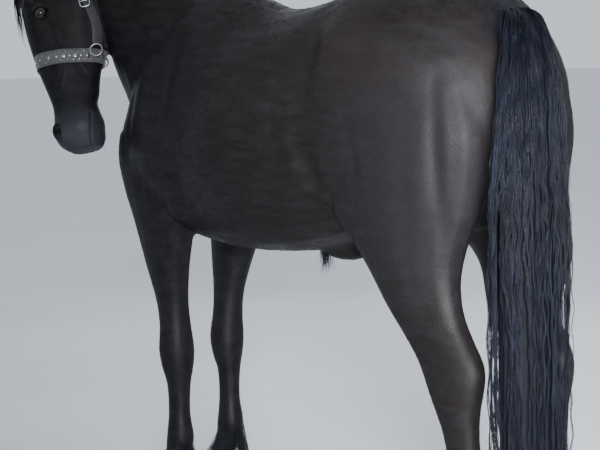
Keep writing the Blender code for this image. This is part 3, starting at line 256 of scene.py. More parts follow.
# Finer forms of the body: tendons, folds, bones and grooves.
FINE_FORMS = [
    ((-0.415, 0.262, 1.165), (0.022, 0.06, 0.10), -0.006),
    ((-0.690, 0.235, 1.12), (0.018, 0.07, 0.17), -0.007),
    ((-0.640, 0.250, 1.02), (0.030, 0.06, 0.10), 0.005),
    ((-0.180, 0.280, 1.20), (0.020, 0.09, 0.13), 0.006),
    ((-0.125, 0.285, 1.27), (0.016, 0.09, 0.12), -0.004),
    ((-0.075, 0.290, 1.22), (0.016, 0.09, 0.14), 0.0035),
    ((-0.020, 0.290, 1.24), (0.015, 0.09, 0.13), -0.0030),
    ((0.035, 0.300, 1.20), (0.015, 0.09, 0.14), 0.0025),
    ((-0.250, 0.240, 1.010), (0.040, 0.05, 0.016), 0.010),
    ((0.470, 0.240, 1.26), (0.016, 0.07, 0.12), -0.005),
    ((0.620, 0.200, 1.24), (0.020, 0.07, 0.13), -0.005),
    ((0.560, 0.215, 1.02), (0.018, 0.06, 0.08), -0.004),
    ((0.495, 0.200, 0.86), (0.014, 0.05, 0.10), -0.004),
    ((0.10, 0.240, 0.960), (0.22, 0.05, 0.016), -0.003),
]

# In how many levels the body's smoothing fades toward the head.
BODY_LEVELS = 8

# Below this height is leg, and above it, ahead of this place, is neck and head.
LEG_LINE = 0.90
FRONT_LINE = 0.55

# The tail as the solids have it: x, y and z of its middle, half width and half depth.
TAIL = [
    (-0.725, 0.014, 1.450, 0.034, 0.026),
    (-0.768, 0.034, 1.482, 0.054, 0.036),
    (-0.814, 0.060, 1.455, 0.072, 0.046),
    (-0.846, 0.080, 1.360, 0.092, 0.054),
    (-0.866, 0.098, 1.220, 0.113, 0.060),
    (-0.874, 0.114, 1.050, 0.132, 0.070),
    (-0.880, 0.122, 0.900, 0.138, 0.078),
    (-0.884, 0.124, 0.700, 0.134, 0.082),
    (-0.890, 0.127, 0.450, 0.131, 0.082),
    (-0.904, 0.123, 0.250, 0.108, 0.060),
    (-0.910, 0.120, 0.130, 0.066, 0.040),
    (-0.910, 0.120, 0.070, 0.018, 0.014),
]
TAIL_CLUMPS = 130
GOLDEN_TURN = 0.6180339

# The core's share of the tail's width, and how much lower it lies: at the dock, and below it.
CORE_TOP = (0.36, 0.008)
CORE_BELOW = (0.66, 0.0)

# The mane's first and last place between the neck's stations.
MANE_ROWS = (1.75, 6.50)
MANE_CLUMPS = 88
MANE_LENGTH = 0.37

# The forelock's way down the face in the head's x and z, and how far it spreads along it.
FORELOCK_CLUMPS = 26
FORELOCK = [(0.006, 0.000), (0.050, 0.014), (0.088, -0.050),
            (0.108, -0.140), (0.115, -0.215), (0.118, -0.310)]
FORELOCK_SPREAD = (0.25, 0.35, 0.8, 1.0, 1.05, 0.9)

# The feathers, coronets and hooves of the front and hind feet. HOOF has height, length, width and lean.
FEATHER_CLUMPS = 62
FEATHER_REACH = ([0.0, 0.36, 0.68, 1.0], [0.016, 0.048, 0.076, 0.090])
FEATHER_TURN = math.radians(118)
FEATHER_TOP = {"front": 0.300, "hind": 0.325}
FEATHER_AXIS = {"front": ((0.598, 0.215), (0.640, 0.03)), "hind": ((-0.768, 0.215), (-0.712, 0.03))}
HOOF_CENTRE = {"front": (0.648, 0.148), "hind": (-0.703, 0.1625)}
CORONET = {"front": (0.068, 0.40), "hind": (0.070, 0.36)}
HOOF = [(0.000, 0.076, 0.066, 0.012), (0.012, 0.076, 0.066, 0.010), (0.110, 0.052, 0.049, -0.012)]
HOOF_COLUMNS = [([row[0] for row in HOOF], [row[i] for row in HOOF]) for i in (1, 2, 3)]
HOOF_RINGS = 34
HOOF_SIDES = 56

# Long hair by kind: size and length of its bends, strands in a clump, how far a clump spreads and
# frizzes, steps along a strand, and its width.
STRANDS = {
    "tail": ((0.0042, 0.085), 11, (0.0088, 0.0016), 80, 0.00125),
    "mane": ((0.0028, 0.10), 14, (0.0095, 0.0014), 26, 0.00100),
    "forelock": ((0.0022, 0.09), 20, (0.0085, 0.0012), 22, 0.00090),
    "feather": ((0.0020, 0.085), 14, (0.0125, 0.0012), 12, 0.00088),
}

# Single hairs: how many, and how far each kind droops and how wide it is.
BRISTLES = {"face_bristles": (0.10, 0.00028), "ear_hair": (0.05, 0.00055), "belly_tuft": (0.1, 0.0007)}
WHISKERS = 90
LASHES = 34
EAR_HAIRS = 260
BELLY_HAIRS = 120

# Short tufts: how many, how much closer they stand on the head and the lower legs, how much they stray,
# their length on the trunk, the legs and the head, their width as a share of it and more, how far they
# lift in degrees, and how far their roots are set back and in.
TUFTS = 80000
TUFT_SHARES = (3.2, 2.2)
TUFT_STRAY = 0.22
TUFT_LENGTHS = (0.016, 0.011, 0.0065)
TUFT_WIDTH = (0.035, 0.00012)
TUFT_LIFT = (3.0, 9.5)
TUFT_ROOT = (0.0015, 0.0008)

# Which way the coat lies, and the middle of the head in its own frame.
TRUNK_WAY = np.array((-1.0, 0.0, -0.30))
LEG_WAY = np.array((-0.12, 0, -1.0))
THIGH_WAY = np.array((0.35, 0, -0.9))
HEAD_MIDDLE = np.array((-0.04, 0, -0.30))

# The face, in the head's own frame: x out of the face, y left, z up from the poll.
EYE_PLACE = (0.030, 0.0825, -0.232)
EYE_RADIUS = 0.0215
EYE_OPEN = (0.95, 0.56, 0.42)
EYE_SUNK = 0.009

# The lids, by reach across the opening: how far they clear the ball, their swelling (height, middle and
# width), where their edge begins and how wide it is, and where they end and how softly.
LID_CLEAR = 0.0015
LID_SWELL = (0.0022, 1.18, 0.18)
LID_EDGE = (0.93, 0.14)
LID_END = (1.9, 0.5)

# The nostrils: place, size, turn, swollen rim (height, middle and width), depth and way inward.
NOSTRIL_PLACE = (0.066, 0.052, -0.612)
NOSTRIL_SIZE = (0.0160, 0.0115, 0.0250)
NOSTRIL_TURN = (math.radians(38), 0.35)
NOSTRIL_RIM = (0.0042, 1.40, 0.30)
NOSTRIL_DEPTH = 0.024
NOSTRIL_WAY = (-0.45, -0.80, 0.40)

# The mouth's line in x and z, its groove, and the lip beside it (height, distance and width).
MOUTH = [(-0.053, -0.572), (-0.047, -0.605), (-0.038, -0.645), (-0.030, -0.720)]
MOUTH_TOP = -0.555
MOUTH_DEPTH = 0.0034
MOUTH_WIDTH = 0.0026
LIP = (0.0010, 0.009, 0.006)

# Veins, and the folds over and under the eye: a line in x and z, its height and its width.
FACE_LINES = [
    ([(0.020, -0.290), (-0.010, -0.350), (-0.004, -0.420), (0.024, -0.480)], 0.0011, 0.0038),
    ([(-0.010, -0.350), (-0.050, -0.390), (-0.070, -0.440)], 0.0011, 0.0038),
    ([(-0.060, -0.160), (-0.075, -0.220), (-0.060, -0.280)], 0.0011, 0.0038),
    ([(0.004, -0.211), (0.014, -0.203), (0.026, -0.199), (0.038, -0.200), (0.050, -0.206), (0.056, -0.213)],
     0.0020, 0.0040),
    ([(0.000, -0.196), (0.012, -0.187), (0.027, -0.183), (0.042, -0.185), (0.056, -0.193)], 0.0012, 0.0040),
    ([(0.006, -0.252), (0.016, -0.258), (0.029, -0.261), (0.042, -0.259), (0.052, -0.253)], 0.0012, 0.0040),
]

# Where the head's skin is split once, and once more: boxes by their two corners.
FINE_BOXES = [
    [((-0.16, -0.14, -0.72), (0.15, 0.14, -0.12))],
    [((-0.08, -0.14, -0.72), (0.11, 0.14, -0.555)), ((-0.01, 0.05, -0.275), (0.07, 0.14, -0.19)),
     ((-0.01, -0.14, -0.275), (0.07, -0.05, -0.19))],
]

# The ears: where they stand, and their depth and width along their length.
EAR_PLACE = (0.014, 0.047)
EAR = [
    (0.00, 0.019, 0.017),
    (0.16, 0.025, 0.023),
    (0.38, 0.029, 0.025),
    (0.62, 0.024, 0.019),
    (0.82, 0.014, 0.011),
    (0.95, 0.006, 0.005),
    (1.00, 0.002, 0.002),
]
EAR_SUNK = 0.018
EAR_LENGTH = 0.160
EAR_BEND = 0.010

# The halter's straps.
NOSE_REACH = 0.112
NOSEBAND_DROP = 0.385
NOSEBAND_HEIGHT = 0.036
NOSEBAND_X = -0.028
NOSEBAND_SLOPE = 0.13
STRAP_WIDTH = 0.026
STRAP_THICK = 0.0036
STRAP_CLEAR = 0.0030
CHEEK_PATH = [(-0.114, -0.360), (-0.126, -0.300), (-0.116, -0.235), (-0.100, -0.165), (-0.072, -0.095)]
CROWN_CENTRE = (-0.044, 0, -0.090)
CROWN_SPREAD = math.radians(52)

# Its rolled edges, its studs by radius and height, and its fittings: place in x and z, half size, reach
# to the skin, side, and how square the loop is.
EDGE_RADIUS = 0.0024
LOOP_RADIUS = 0.0026
LOOP_LIFT = 0.0036
TONGUE_RADIUS = 0.0021
LARGE_STUD = (0.0078, 0.0026)
MIDDLE_STUD = (0.0050, 0.0026)
SMALL_STUD = (0.0024, 0.0016)
FITTINGS = {
    "halter_ring_left": ((-0.112, -0.383), (0.0190, 0.0190), 0.090, 1, 2.0),
    "halter_ring_right": ((-0.112, -0.383), (0.0190, 0.0190), 0.090, -1, 2.0),
    "halter_buckle": ((-0.112, -0.235), (0.0155, 0.0190), 0.125, 1, 4.0),
}

# Webbing: its name and its dark, light and worn colours, and the two waves of its weave.
STRAPS = {
    "noseband": ("noseband_webbing",
                 (0.030, 0.029, 0.033, 1), (0.090, 0.089, 0.096, 1), (0.062, 0.060, 0.062, 1)),
    "strap": ("headpiece_webbing",
              (0.007, 0.007, 0.010, 1), (0.024, 0.025, 0.031, 1), (0.013, 0.013, 0.014, 1)),
}
WEAVE = (("DIAGONAL", 230.0, 0.6), ("Z", 190.0, 0.4))

# The solids that the one skin stands for.
FLESH = ["torso", "neck", "head", "ear_left", "ear_right"]
FLESH += [part + leg for part in ("leg_", "cannon_") for leg in STANCE]

# The width of the patch that a tuft takes up on its unwrap.
PATCH = 0.003

# The studio: a wide floor, an even sky, and lamps by place, target, size, spread, power and colour.
FLOOR_RADIUS = 300.0
SKY_COLOUR = (0.80, 0.85, 0.92, 1.0)
SKY_STRENGTH = 0.95
LAMPS = [
    ("key", (-4.3, 3.0, 1.55), (-1.0, -0.10, 0.95), 1.6, 34.0, 84.0, (0.95, 0.96, 1.0)),
    ("fill", (-1.0, 5.0, 2.6), (0.3, 0.1, 1.1), 3.0, 150.0, 14.0, (0.85, 0.92, 1.0)),
    ("rim", (3.2, -3.6, 2.6), (0.3, 0.0, 1.2), 2.2, 150.0, 20.0, (1.0, 1.0, 1.0)),
]

draw = np.random.default_rng(SEED)


def add_object(name, mesh, *materials):
    """Make an object from a mesh and its materials."""
    made = bpy.data.objects.new(name, mesh)
    bpy.context.scene.collection.objects.link(made)
    for look in materials:
        mesh.materials.append(look)
    return made


def ship(thing, slot, *nodes):
    """Move a finished piece to the frame, hang it on the root body, and hide the solids that it stands for.
    """
    thing.data.transform(Matrix.Translation(SHIFT))
    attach(thing, "root")
    if nodes:
        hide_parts(*nodes)


def raw_mesh(name, points, faces):
    """A mesh from arrays of points and of triangles or quads."""
    mesh = bpy.data.meshes.new(name)
    points = np.ascontiguousarray(points, dtype=np.float32).reshape(-1, 3)
    faces = np.ascontiguousarray(faces, dtype=np.int32)
    count, sides = faces.shape
    mesh.vertices.add(len(points))
    mesh.vertices.foreach_set("co", points.ravel())
    mesh.loops.add(count * sides)
    mesh.loops.foreach_set("vertex_index", faces.ravel())
    mesh.polygons.add(count)
    mesh.polygons.foreach_set("loop_start", np.arange(count, dtype=np.int32) * sides)
    mesh.update(calc_edges=True)
    mesh.validate()
    mesh.polygons.foreach_set("use_smooth", np.ones(len(mesh.polygons), dtype=bool))
    return mesh


def bake_map(mesh, places, corners_each):
    """Give a coat piece its UV map: each tuft is a small patch at its root's place."""
    layer = mesh.uv_layers.new(name="OFBake")
    loops = np.zeros(len(mesh.loops), dtype=np.int32)
    mesh.loops.foreach_get("vertex_index", loops)
    tuft = loops // corners_each
    inside = (loops % corners_each) / corners_each
    turn = inside * 2 * math.pi
    patch = PATCH * 0.5 * np.stack([np.cos(turn), np.sin(turn)], axis=1)
    layer.data.foreach_set("uv", (places[tuft] + patch).astype(np.float32).ravel())


def lerp(a, b, t):
    """Blend two numbers or arrays."""
    return a + (b - a) * t


def smooth(t):
    """Ease a number from 0 to 1."""
    t = min(1.0, max(0.0, t))
    return t * t * (3.0 - 2.0 * t)


def spline_rows(rows, count):
    """Resample rows of numbers along a Catmull-Rom curve, evenly in row number."""
    data = np.array(rows, dtype=float)
    padded = np.vstack([2 * data[0] - data[1], data, 2 * data[-1] - data[-2]])
    made = []
    for place in np.linspace(0.0, len(data) - 1.0, count):
        k = min(int(place), len(data) - 2)
        t = place - k
        p0, p1, p2, p3 = padded[k:k + 4]
        made.append(0.5 * (2 * p1 + (p2 - p0) * t + (2 * p0 - 5 * p1 + 4 * p2 - p3) * t * t
                           + (3 * p1 - p0 - 3 * p2 + p3) * t ** 3))
    return made


def join_into(mesh, parts):
    """Add other meshes to a mesh."""
    shape = bmesh.new()
    for part in (mesh, *parts):
        shape.from_mesh(part)
    shape.to_mesh(mesh)
    shape.free()
    mesh.shade_smooth()
    return mesh


def search_tree(mesh, matrix=None):
    """A search tree over a mesh, moved by a matrix."""
    shape = bmesh.new()
    shape.from_mesh(mesh)
    if matrix is not None:
        bmesh.ops.transform(shape, matrix=matrix, verts=shape.verts)
    tree = BVHTree.FromBMesh(shape)
    shape.free()
    return tree


def around(count):
    """The cosine and sine of each of a number of even turns."""
    turns = [2 * math.pi * k / count for k in range(count)]
    return [(math.cos(turn), math.sin(turn)) for turn in turns]


def loft_mesh(name, rings, looped=False):
    """Skin a row of closed rings of points, and join the last to the first or close both ends."""
    mesh = bpy.data.meshes.new(name)
    shape = bmesh.new()
    rows = [[shape.verts.new(tuple(point)) for point in ring] for ring in rings]
    sides = len(rows[0])
    for lower, upper in zip(rows, rows[1:] + rows[:1] if looped else rows[1:]):
        for k in range(sides):
            j = (k + 1) % sides
            shape.faces.new((lower[k], lower[j], upper[j], upper[k]))
    if not looped:
        shape.faces.new(rows[0])
        shape.faces.new(rows[-1])
    bmesh.ops.recalc_face_normals(shape, faces=shape.faces)
    shape.to_mesh(mesh)
    shape.free()
    mesh.shade_smooth()
    return mesh


def power(value, exponent):
    """Raise the size of a number and keep its sign."""
    return math.copysign(abs(value) ** exponent, value)


def trunk_rings():
    """Upright rings along the trunk, rounder above than below."""
    rings = []
    count, sides = TRUNK_GRID
    for x, top, bottom, half, wide in spline_rows(TRUNK, count):
        ring = []
        for c, s in around(sides):
            reach, square = (top - wide, 1.06) if s > 0 else (wide - bottom, 0.92)
            ring.append((x, half * power(c, square), wide + reach * power(s, square)))
        rings.append(ring)
    return rings


class Turn:
    """Swings the straight neck and head to the left, more the nearer they are to the poll."""

    def __init__(self):
        self.start = Vector(TURN_START)
        self.poll = Vector(POLL)
        stride = (self.poll - self.start) / TURN_STEPS
        self.path = [self.start.copy()]
        for k in range(TURN_STEPS):
            spin = Matrix.Rotation(self.yaw((k + 0.5) / TURN_STEPS), 3, "Z")
            self.path.append(self.path[-1] + spin @ stride)

    @staticmethod
    def yaw(part):
        """The swing at a part of the way along the neck."""
        return HEAD_YAW * part ** 0.95

    def frame(self, part):
        """The matrix that carries straight points at a part of the way to their turned place."""
        place = part * TURN_STEPS
        k = min(int(place), TURN_STEPS - 1)
        spot = self.path[k].lerp(self.path[k + 1], place - k)
        rest = self.start.lerp(self.poll, part)
        spin = Matrix.Rotation(self.yaw(part), 4, "Z") @ Matrix.Rotation(HEAD_ROLL * part ** 2, 4, "X")
        return Matrix.Translation(spot) @ spin @ Matrix.Translation(-rest)

    def head(self):
        """The matrix from the head's own frame, hung from the poll with z up, to its place."""
        return self.frame(1.0) @ Matrix.Translation(self.poll) @ Matrix.Rotation(HEAD_TUCK, 4, "Y")


def neck_part(x, z):
    """How far along the neck a straight point lies, from 0 at its base to 1 at the poll."""
    along_x, along_z = NECK_WAY
    along = (x - TURN_START[0]) * along_x + (z - TURN_START[2]) * along_z
    full = (POLL[0] - TURN_START[0]) * along_x + (POLL[2] - TURN_START[2]) * along_z
    return min(1.0, max(0.0, along / full))


def neck_rings(turn):
    """Rings from crest to underline along the turned neck."""
    rings = []
    count, sides = NECK_GRID
    for cx, cz, ux, uz, half in spline_rows(NECK, count):
        crest = Vector((cx, 0, cz))
        under = Vector((ux, 0, uz))
        middle = crest.lerp(under, 0.54)
        frame = turn.frame(neck_part(middle.x, middle.z))
        ring = []
        for c, s in around(sides):
            end, narrow = (crest, 1.18) if s > 0 else (under, 0.95)
            point = middle.lerp(end, abs(s) ** 0.96)
            point.y = half * power(c, narrow)
            ring.append(frame @ point)
        rings.append(ring)
    return rings


def head_rings(place):
    """Rings down the head, from the poll to the lips."""
    rings = []
    count, sides = HEAD_GRID
    for down, face, jaw, half, wide in spline_rows(HEAD, count):
        ring = []
        for c, s in around(sides):
            depth = (face - wide) if c > 0 else (wide - jaw)
            ring.append(place @ Vector((wide + depth * power(c, 0.88), half * power(s, 0.90), -down)))
        rings.append(ring)
    return rings


def leg_shift(name, z):
    """How far a leg has moved from its plain stance at a height."""
    side, top, knee, at_knee, at_floor, back = STANCE[name]
    upper = smooth((top - z) / (top - knee))
    lower = max(0.0, (knee - z) / knee)
    set_back = back * math.exp(-((z - GASKIN[0]) / GASKIN[1]) ** 2)
    dx, dy = (high * upper + low * lower for high, low in zip(at_knee, at_floor))
    return dx - set_back, dy * side


def leg_rings(name):
    """Level rings down a leg."""
    side = STANCE[name][0]
    rings = []
    table = FORELEG if name.startswith("front") else HINDLEG
    count, sides = LEG_GRID
    for z, front, back, inner, outer in spline_rows(table, count):
        dx, dy = leg_shift(name, z)
        ring = []
        for c, s in around(sides):
            x = (front + back) / 2 + (front - back) / 2 * power(c, 0.95) + dx
            y = side * ((inner + outer) / 2) + (outer - inner) / 2 * power(s, 0.95) + dy
            ring.append((x, y, z))
        rings.append(ring)
    return rings


def get_points(mesh):
    """A mesh's points as an array."""
    points = np.empty(len(mesh.vertices) * 3)
    mesh.vertices.foreach_get("co", points)
    return points.reshape(-1, 3)


def set_points(mesh, points):
    """Write a mesh's points from an array."""
    mesh.vertices.foreach_set("co", points.ravel())
    mesh.update()


def get_normals(mesh):
    """A mesh's vertex normals as an array."""
    normals = np.empty(len(mesh.vertices) * 3)
    mesh.vertex_normals.foreach_get("vector", normals)
    return normals.reshape(-1, 3)


def unit(vectors):
    """Scale an array of vectors to length one."""
    return vectors / np.maximum(np.linalg.norm(vectors, axis=-1, keepdims=True), 1e-9)


def settle(thing):
    """Apply every modifier of an object."""
    graph = bpy.context.evaluated_depsgraph_get()
    graph.update()
    mesh = bpy.data.meshes.new_from_object(thing.evaluated_get(graph), depsgraph=graph)
    thing.modifiers.clear()
    thing.data = mesh


def soften(thing, rounds, group=None):
    """Smooth an object's mesh, all over or by a vertex group."""
    change = thing.modifiers.new("soften", "SMOOTH")
    change.factor = 0.5
    change.iterations = rounds
    if group:
        change.vertex_group = group
    settle(thing)


def to_frame(points, place):
    """Points as seen from a place."""
    inverse = np.array(place.inverted())
    return points @ inverse[:3, :3].T + inverse[:3, 3]


def swell(points, normals, forms, place):
    """Push points in or out along their normals round each form, mirrored about y = 0 of its frame."""
    local = to_frame(points, place)
    push = np.zeros(len(points))
    for centre, radii, height in forms:
        for side in ((1,) if centre[1] == 0.0 else (1, -1)):
            far = (((local - np.array(centre) * (1, side, 1)) / np.array(radii)) ** 2).sum(axis=1)
            push += height * np.exp(-far)
    return points + normals * push[:, None]


def line_distance(points, line):
    """How far flat points lie from a bent line."""
    best = np.full(len(points), 9.0)
    for start, end in zip(line, line[1:]):
        start = np.array(start)
        along = np.array(end) - start
        part = np.clip(((points - start) @ along) / (along @ along), 0.0, 1.0)
        best = np.minimum(best, np.linalg.norm(points - start - part[:, None] * along, axis=1))
    return best


def sheath_rings():
    """Rings along the low swelling under the belly."""
    (cx, cy, cz), (rx, ry, rz) = SHEATH
    rings = []
    count, sides = SHEATH_GRID
    for k in range(count):
        turn = math.pi * (k + 0.5) / count
        x, thick = cx + rx * math.cos(turn), math.sin(turn)
        rings.append([(x, cy + ry * thick * c, cz + rz * thick * s) for c, s in around(sides)])
    return rings


def bulge(distance, middle, width):
    """A soft bump of height 1 at a distance."""
    return np.exp(-((distance - middle) / width) ** 2)


def nostril_reach(local, side):
    """How far points of the head's frame lie from a nostril's middle, with 1 at its rim."""
    turn, tilt = NOSTRIL_TURN
    spin = Matrix.Rotation(turn * side, 3, "Z") @ Matrix.Rotation(tilt, 3, "Y")
    flat = (local - np.array(NOSTRIL_PLACE) * (1, side, 1)) @ np.array(spin)
    return np.linalg.norm(flat / np.array(NOSTRIL_SIZE), axis=1)


def eye_reach(local, side):
    """How far points lie from an eye's middle across the opening of the lids, with 1 at the lids' edge."""
    wide, above, below = EYE_OPEN
    u = (local[:, 0] - EYE_PLACE[0]) / (wide * EYE_RADIUS)
    v = (local[:, 2] - EYE_PLACE[2]) / EYE_RADIUS
    v = np.where(v > 0, v / above, v / below)
    reach = np.sqrt(u * u + v * v)
    return np.where(local[:, 1] * side > 0.04, reach, 9.0)


def sink_eye(local, side):
    """Sink the skin round an eye's opening behind the ball, and lay the lids over it."""
    reach = eye_reach(local, side)
    across = np.hypot(local[:, 0] - EYE_PLACE[0], local[:, 2] - EYE_PLACE[2])
    ball = EYE_PLACE[1] + np.sqrt(np.maximum(0.0, EYE_RADIUS ** 2 - across ** 2))
    depth = local[:, 1] * side
    height, middle, width = LID_SWELL
    lid = np.maximum(depth, ball + LID_CLEAR + height * bulge(reach, middle, width))
    sunk = np.minimum(depth, ball - EYE_SUNK)
    share = np.clip((reach - LID_EDGE[0]) / LID_EDGE[1], 0.0, 1.0)
    share = share * share * (3 - 2 * share)
    fade = np.clip((LID_END[0] - reach) / LID_END[1], 0.0, 1.0)
    target = sunk * (1 - share) + lid * share
    local[:, 1] = np.where(reach < LID_END[0], (depth + (target - depth) * fade) * side, local[:, 1])


def shape_face(points, normals, place):
    """Sink the nostrils, the mouth's line and the eye openings, and raise the lips, lids and veins."""
    local = to_frame(points, place)
    push = np.zeros(len(points))
    pit = np.zeros((len(points), 3))
    for side in (1, -1):
        reach = nostril_reach(local, side)
        push += NOSTRIL_RIM[0] * bulge(reach, *NOSTRIL_RIM[1:])
        depth = NOSTRIL_DEPTH * np.exp(-(reach / 1.02) ** 6)
        pit += depth[:, None] * (np.array(NOSTRIL_WAY) * (1, side, 1))
    flat = local[:, [0, 2]]
    mouth = line_distance(flat, MOUTH)
    low = local[:, 2] < MOUTH_TOP
    shallow = np.clip((local[:, 2] + 0.690) / 0.035, 0.15, 1.0)
    groove = MOUTH_DEPTH * shallow * bulge(mouth, 0.0, MOUTH_WIDTH)
    push += low * (LIP[0] * bulge(mouth, *LIP[1:]) - groove)
    sideways = np.abs(local[:, 1]) > 0.03
    for line, height, width in FACE_LINES:
        push += sideways * height * bulge(line_distance(flat, line), 0.0, width)
    local = to_frame(points + normals * push[:, None], place) + pit
    for side in (1, -1):
        sink_eye(local, side)
    matrix = np.array(place)
    return local @ matrix[:3, :3].T + matrix[:3, 3]


def refine(thing, place):
    """Split the faces of the head, those round the eyes, nostrils and mouth once more, and leave the rest."""
    shape = bmesh.new()
    shape.from_mesh(thing.data)
    inverse = place.inverted()
    for boxes in FINE_BOXES:
        near = set()
        for vert in shape.verts:
            spot = inverse @ vert.co
            if any(all(low[i] < spot[i] < high[i] for i in range(3)) for low, high in boxes):
                near.add(vert)
        edges = [edge for edge in shape.edges if edge.verts[0] in near and edge.verts[1] in near]
        bmesh.ops.subdivide_edges(shape, edges=edges, cuts=1, use_grid_fill=True)
    shape.to_mesh(thing.data)
    shape.free()


def soften_body(skin, place, rounds):
    """Smooth the body well and leave the head's forms as they are."""
    local = to_frame(get_points(skin.data), place)
    reach, fade = HEAD_REACH
    body = 1.0 - np.clip((reach - np.hypot(local[:, 0], local[:, 2])) / fade, 0.0, 1.0)
    behind = (np.abs(local[:, 1]) >= 0.16) & (local[:, 0] < -0.26)
    body = np.where(local[:, 2] < -0.10, behind, body)
    group = skin.vertex_groups.new(name="body")
    levels = np.round(body * BODY_LEVELS).astype(int)
    for level in range(1, BODY_LEVELS + 1):
        group.add(np.nonzero(levels == level)[0].tolist(), level / BODY_LEVELS, "REPLACE")
    soften(skin, rounds, "body")
    skin.vertex_groups.clear()


def build_skin():
    """The whole body's skin in one piece. Gives the object, the unsunk skin's tree and the neck's turn."""
    turn = Turn()
    place = turn.head()
    lofts = [loft_mesh("trunk", trunk_rings()), loft_mesh("neck", neck_rings(turn)),
             loft_mesh("head", head_rings(place)), loft_mesh("sheath", sheath_rings())]
    lofts += [loft_mesh(name, leg_rings(name)) for name in STANCE]
    skin = add_object("horse_skin", join_into(bpy.data.meshes.new("skin"), lofts))
    fuse = skin.modifiers.new("fuse", "REMESH")
    fuse.mode = "VOXEL"
    fuse.voxel_size = SKIN_VOXEL
    settle(skin)
    grain = (FINEST_VOXEL / SKIN_VOXEL) ** 2
    soften(skin, max(2, round(SKIN_ROUNDS * grain)))
    soften_body(skin, place, max(4, round(BODY_ROUNDS * grain)))
    points = get_points(skin.data)
    for forms, where in ((BODY_FORMS + FINE_FORMS, Matrix.Identity(4)), (HEAD_FORMS, place)):
        points = swell(points, get_normals(skin.data), forms, where)
        set_points(skin.data, points)
    refine(skin, place)
    soften(skin, 2)
    points = shape_face(get_points(skin.data), get_normals(skin.data), place)
    set_points(skin.data, points)
    tree = search_tree(skin.data)
    set_points(skin.data, points - get_normals(skin.data) * COAT_DEPTH)
    return skin, tree, turn


def root_places(points):
    """Where roots fall on an unwrap of the skin: a cell for trunk, front and each leg, by angle and reach."""
    x, y, z = points.T
    legs = z < LEG_LINE
    front = ~legs & (x > FRONT_LINE)
    cell = np.where(legs, 2 + (x > 0) * 2 + (y > 0), np.where(front, 1, 0))
    leg_x = np.where(x > 0, 0.62, -0.72)
    leg_y = np.where(y > 0, 0.15, -0.15)
    angle = np.where(legs, np.arctan2(y - leg_y, x - leg_x),
                     np.where(front, np.arctan2(y - 0.12, x - 0.95), np.arctan2(z - 1.20, y)))
    reach = np.where(legs, z / LEG_LINE, np.where(front, (z - 0.85) / 1.10, (x + 1.05) / 1.65))
    across = (cell % 4 + 0.02 + 0.96 * (angle / (2 * math.pi) + 0.5)) / 4
    up = (cell // 4 + 0.02 + 0.96 * np.clip(reach, 0.0, 1.0)) / 2
    return np.stack([across, up], axis=1)


def spikes(name, roots, normals, flows, lengths, widths, lift, look):
    """Short tufts: three-sided spikes that lean along the coat."""
    across = unit(np.cross(flows, normals))
    base = roots - flows * TUFT_ROOT[0] - normals * TUFT_ROOT[1]
    tips = roots + flows * (lengths * np.cos(lift))[:, None] + normals * (lengths * np.sin(lift))[:, None]
    points = np.stack([base + across * widths[:, None], base - across * widths[:, None],
                       base + normals * widths[:, None] * 0.9, tips], axis=1)
    first = (np.arange(len(roots)) * 4)[:, None, None]
    faces = first + np.array([[0, 2, 1], [0, 3, 2], [2, 3, 1], [1, 3, 0]])[None]
    mesh = raw_mesh(name, points, faces.reshape(-1, 3))
    mesh.normals_split_custom_set_from_vertices(np.repeat(normals, 4, axis=0))
    bake_map(mesh, root_places(roots), 12)
    return add_object(name, mesh, look)


def strands(name, paths, outs, widths, look):
    """Long tapered hairs: three-sided strips along paths, an array of strand by step by xyz."""
    count, steps = paths.shape[:2]
    run = unit(np.gradient(paths, axis=1))
    across = unit(np.cross(run, outs))
    out = np.cross(across, run)
    wide = widths[:, :, None]
    rings = np.stack([paths + across * wide, paths - across * wide, paths + out * wide * 0.6], axis=2)[:, :-1]
    tips = paths[:, -1:]
    points = np.concatenate([rings.reshape(count, -1, 3), tips], axis=1)
    per = points.shape[1]
    pattern = [[0, 2, 1]]
    for k in range(steps - 2):
        for j in range(3):
            a, b = 3 * k + j, 3 * k + (j + 1) % 3
            pattern += [[a, b, b + 3], [a, b + 3, a + 3]]
    last = 3 * (steps - 2)
    pattern += [[last + j, last + (j + 1) % 3, per - 1] for j in range(3)]
    pattern = np.array(pattern)
    faces = (np.arange(count) * per)[:, None, None] + pattern[None]
    mesh = raw_mesh(name, points, faces.reshape(-1, 3))
    bake_map(mesh, root_places(paths[:, 0]), 3 * len(pattern))
    return add_object(name, mesh, look)


def fan(guides, outs, each, radius, frizz, steps):
    """Grow strands round each guide: they spread below the root and gather towards the tip."""
    clumps, guide_steps = guides.shape[:2]
    total = clumps * each
    clump = np.repeat(np.arange(clumps), each)
    part = np.linspace(0.0, 1.0, steps)
    reach = draw.uniform(0.80, 1.0, total)
    at = part[None] * reach[:, None] * (guide_steps - 1)
    low = np.minimum(at.astype(int), guide_steps - 2)
    mix = (at - low)[:, :, None]
    rows = clump[:, None]
    path = guides[rows, low] * (1 - mix) + guides[rows, low + 1] * mix
    out = unit(outs[rows, low] * (1 - mix) + outs[rows, low + 1] * mix)
    run = unit(np.gradient(path, axis=1))
    across = unit(np.cross(run, out))
    turn = draw.uniform(0, 2 * math.pi, total)
    size = np.sqrt(draw.uniform(0.02, 1.0, total))
    spread = radius * (0.30 + 0.70 * np.sin(math.pi * np.clip(part * 1.2, 0, 1) ** 0.6)) * (1.0 - 0.45 * part)
    phase = draw.uniform(0, 2 * math.pi, (total, 1))
    wobble = frizz * np.sin(phase + part[None] * draw.uniform(7, 15, (total, 1))) * part[None]
    side = (np.cos(turn) * size)[:, None] * spread[None] + wobble
    rise = (np.sin(turn) * size)[:, None] * spread[None] * 0.7
    path = path + across * side[:, :, None] + out * rise[:, :, None]
    return path, out


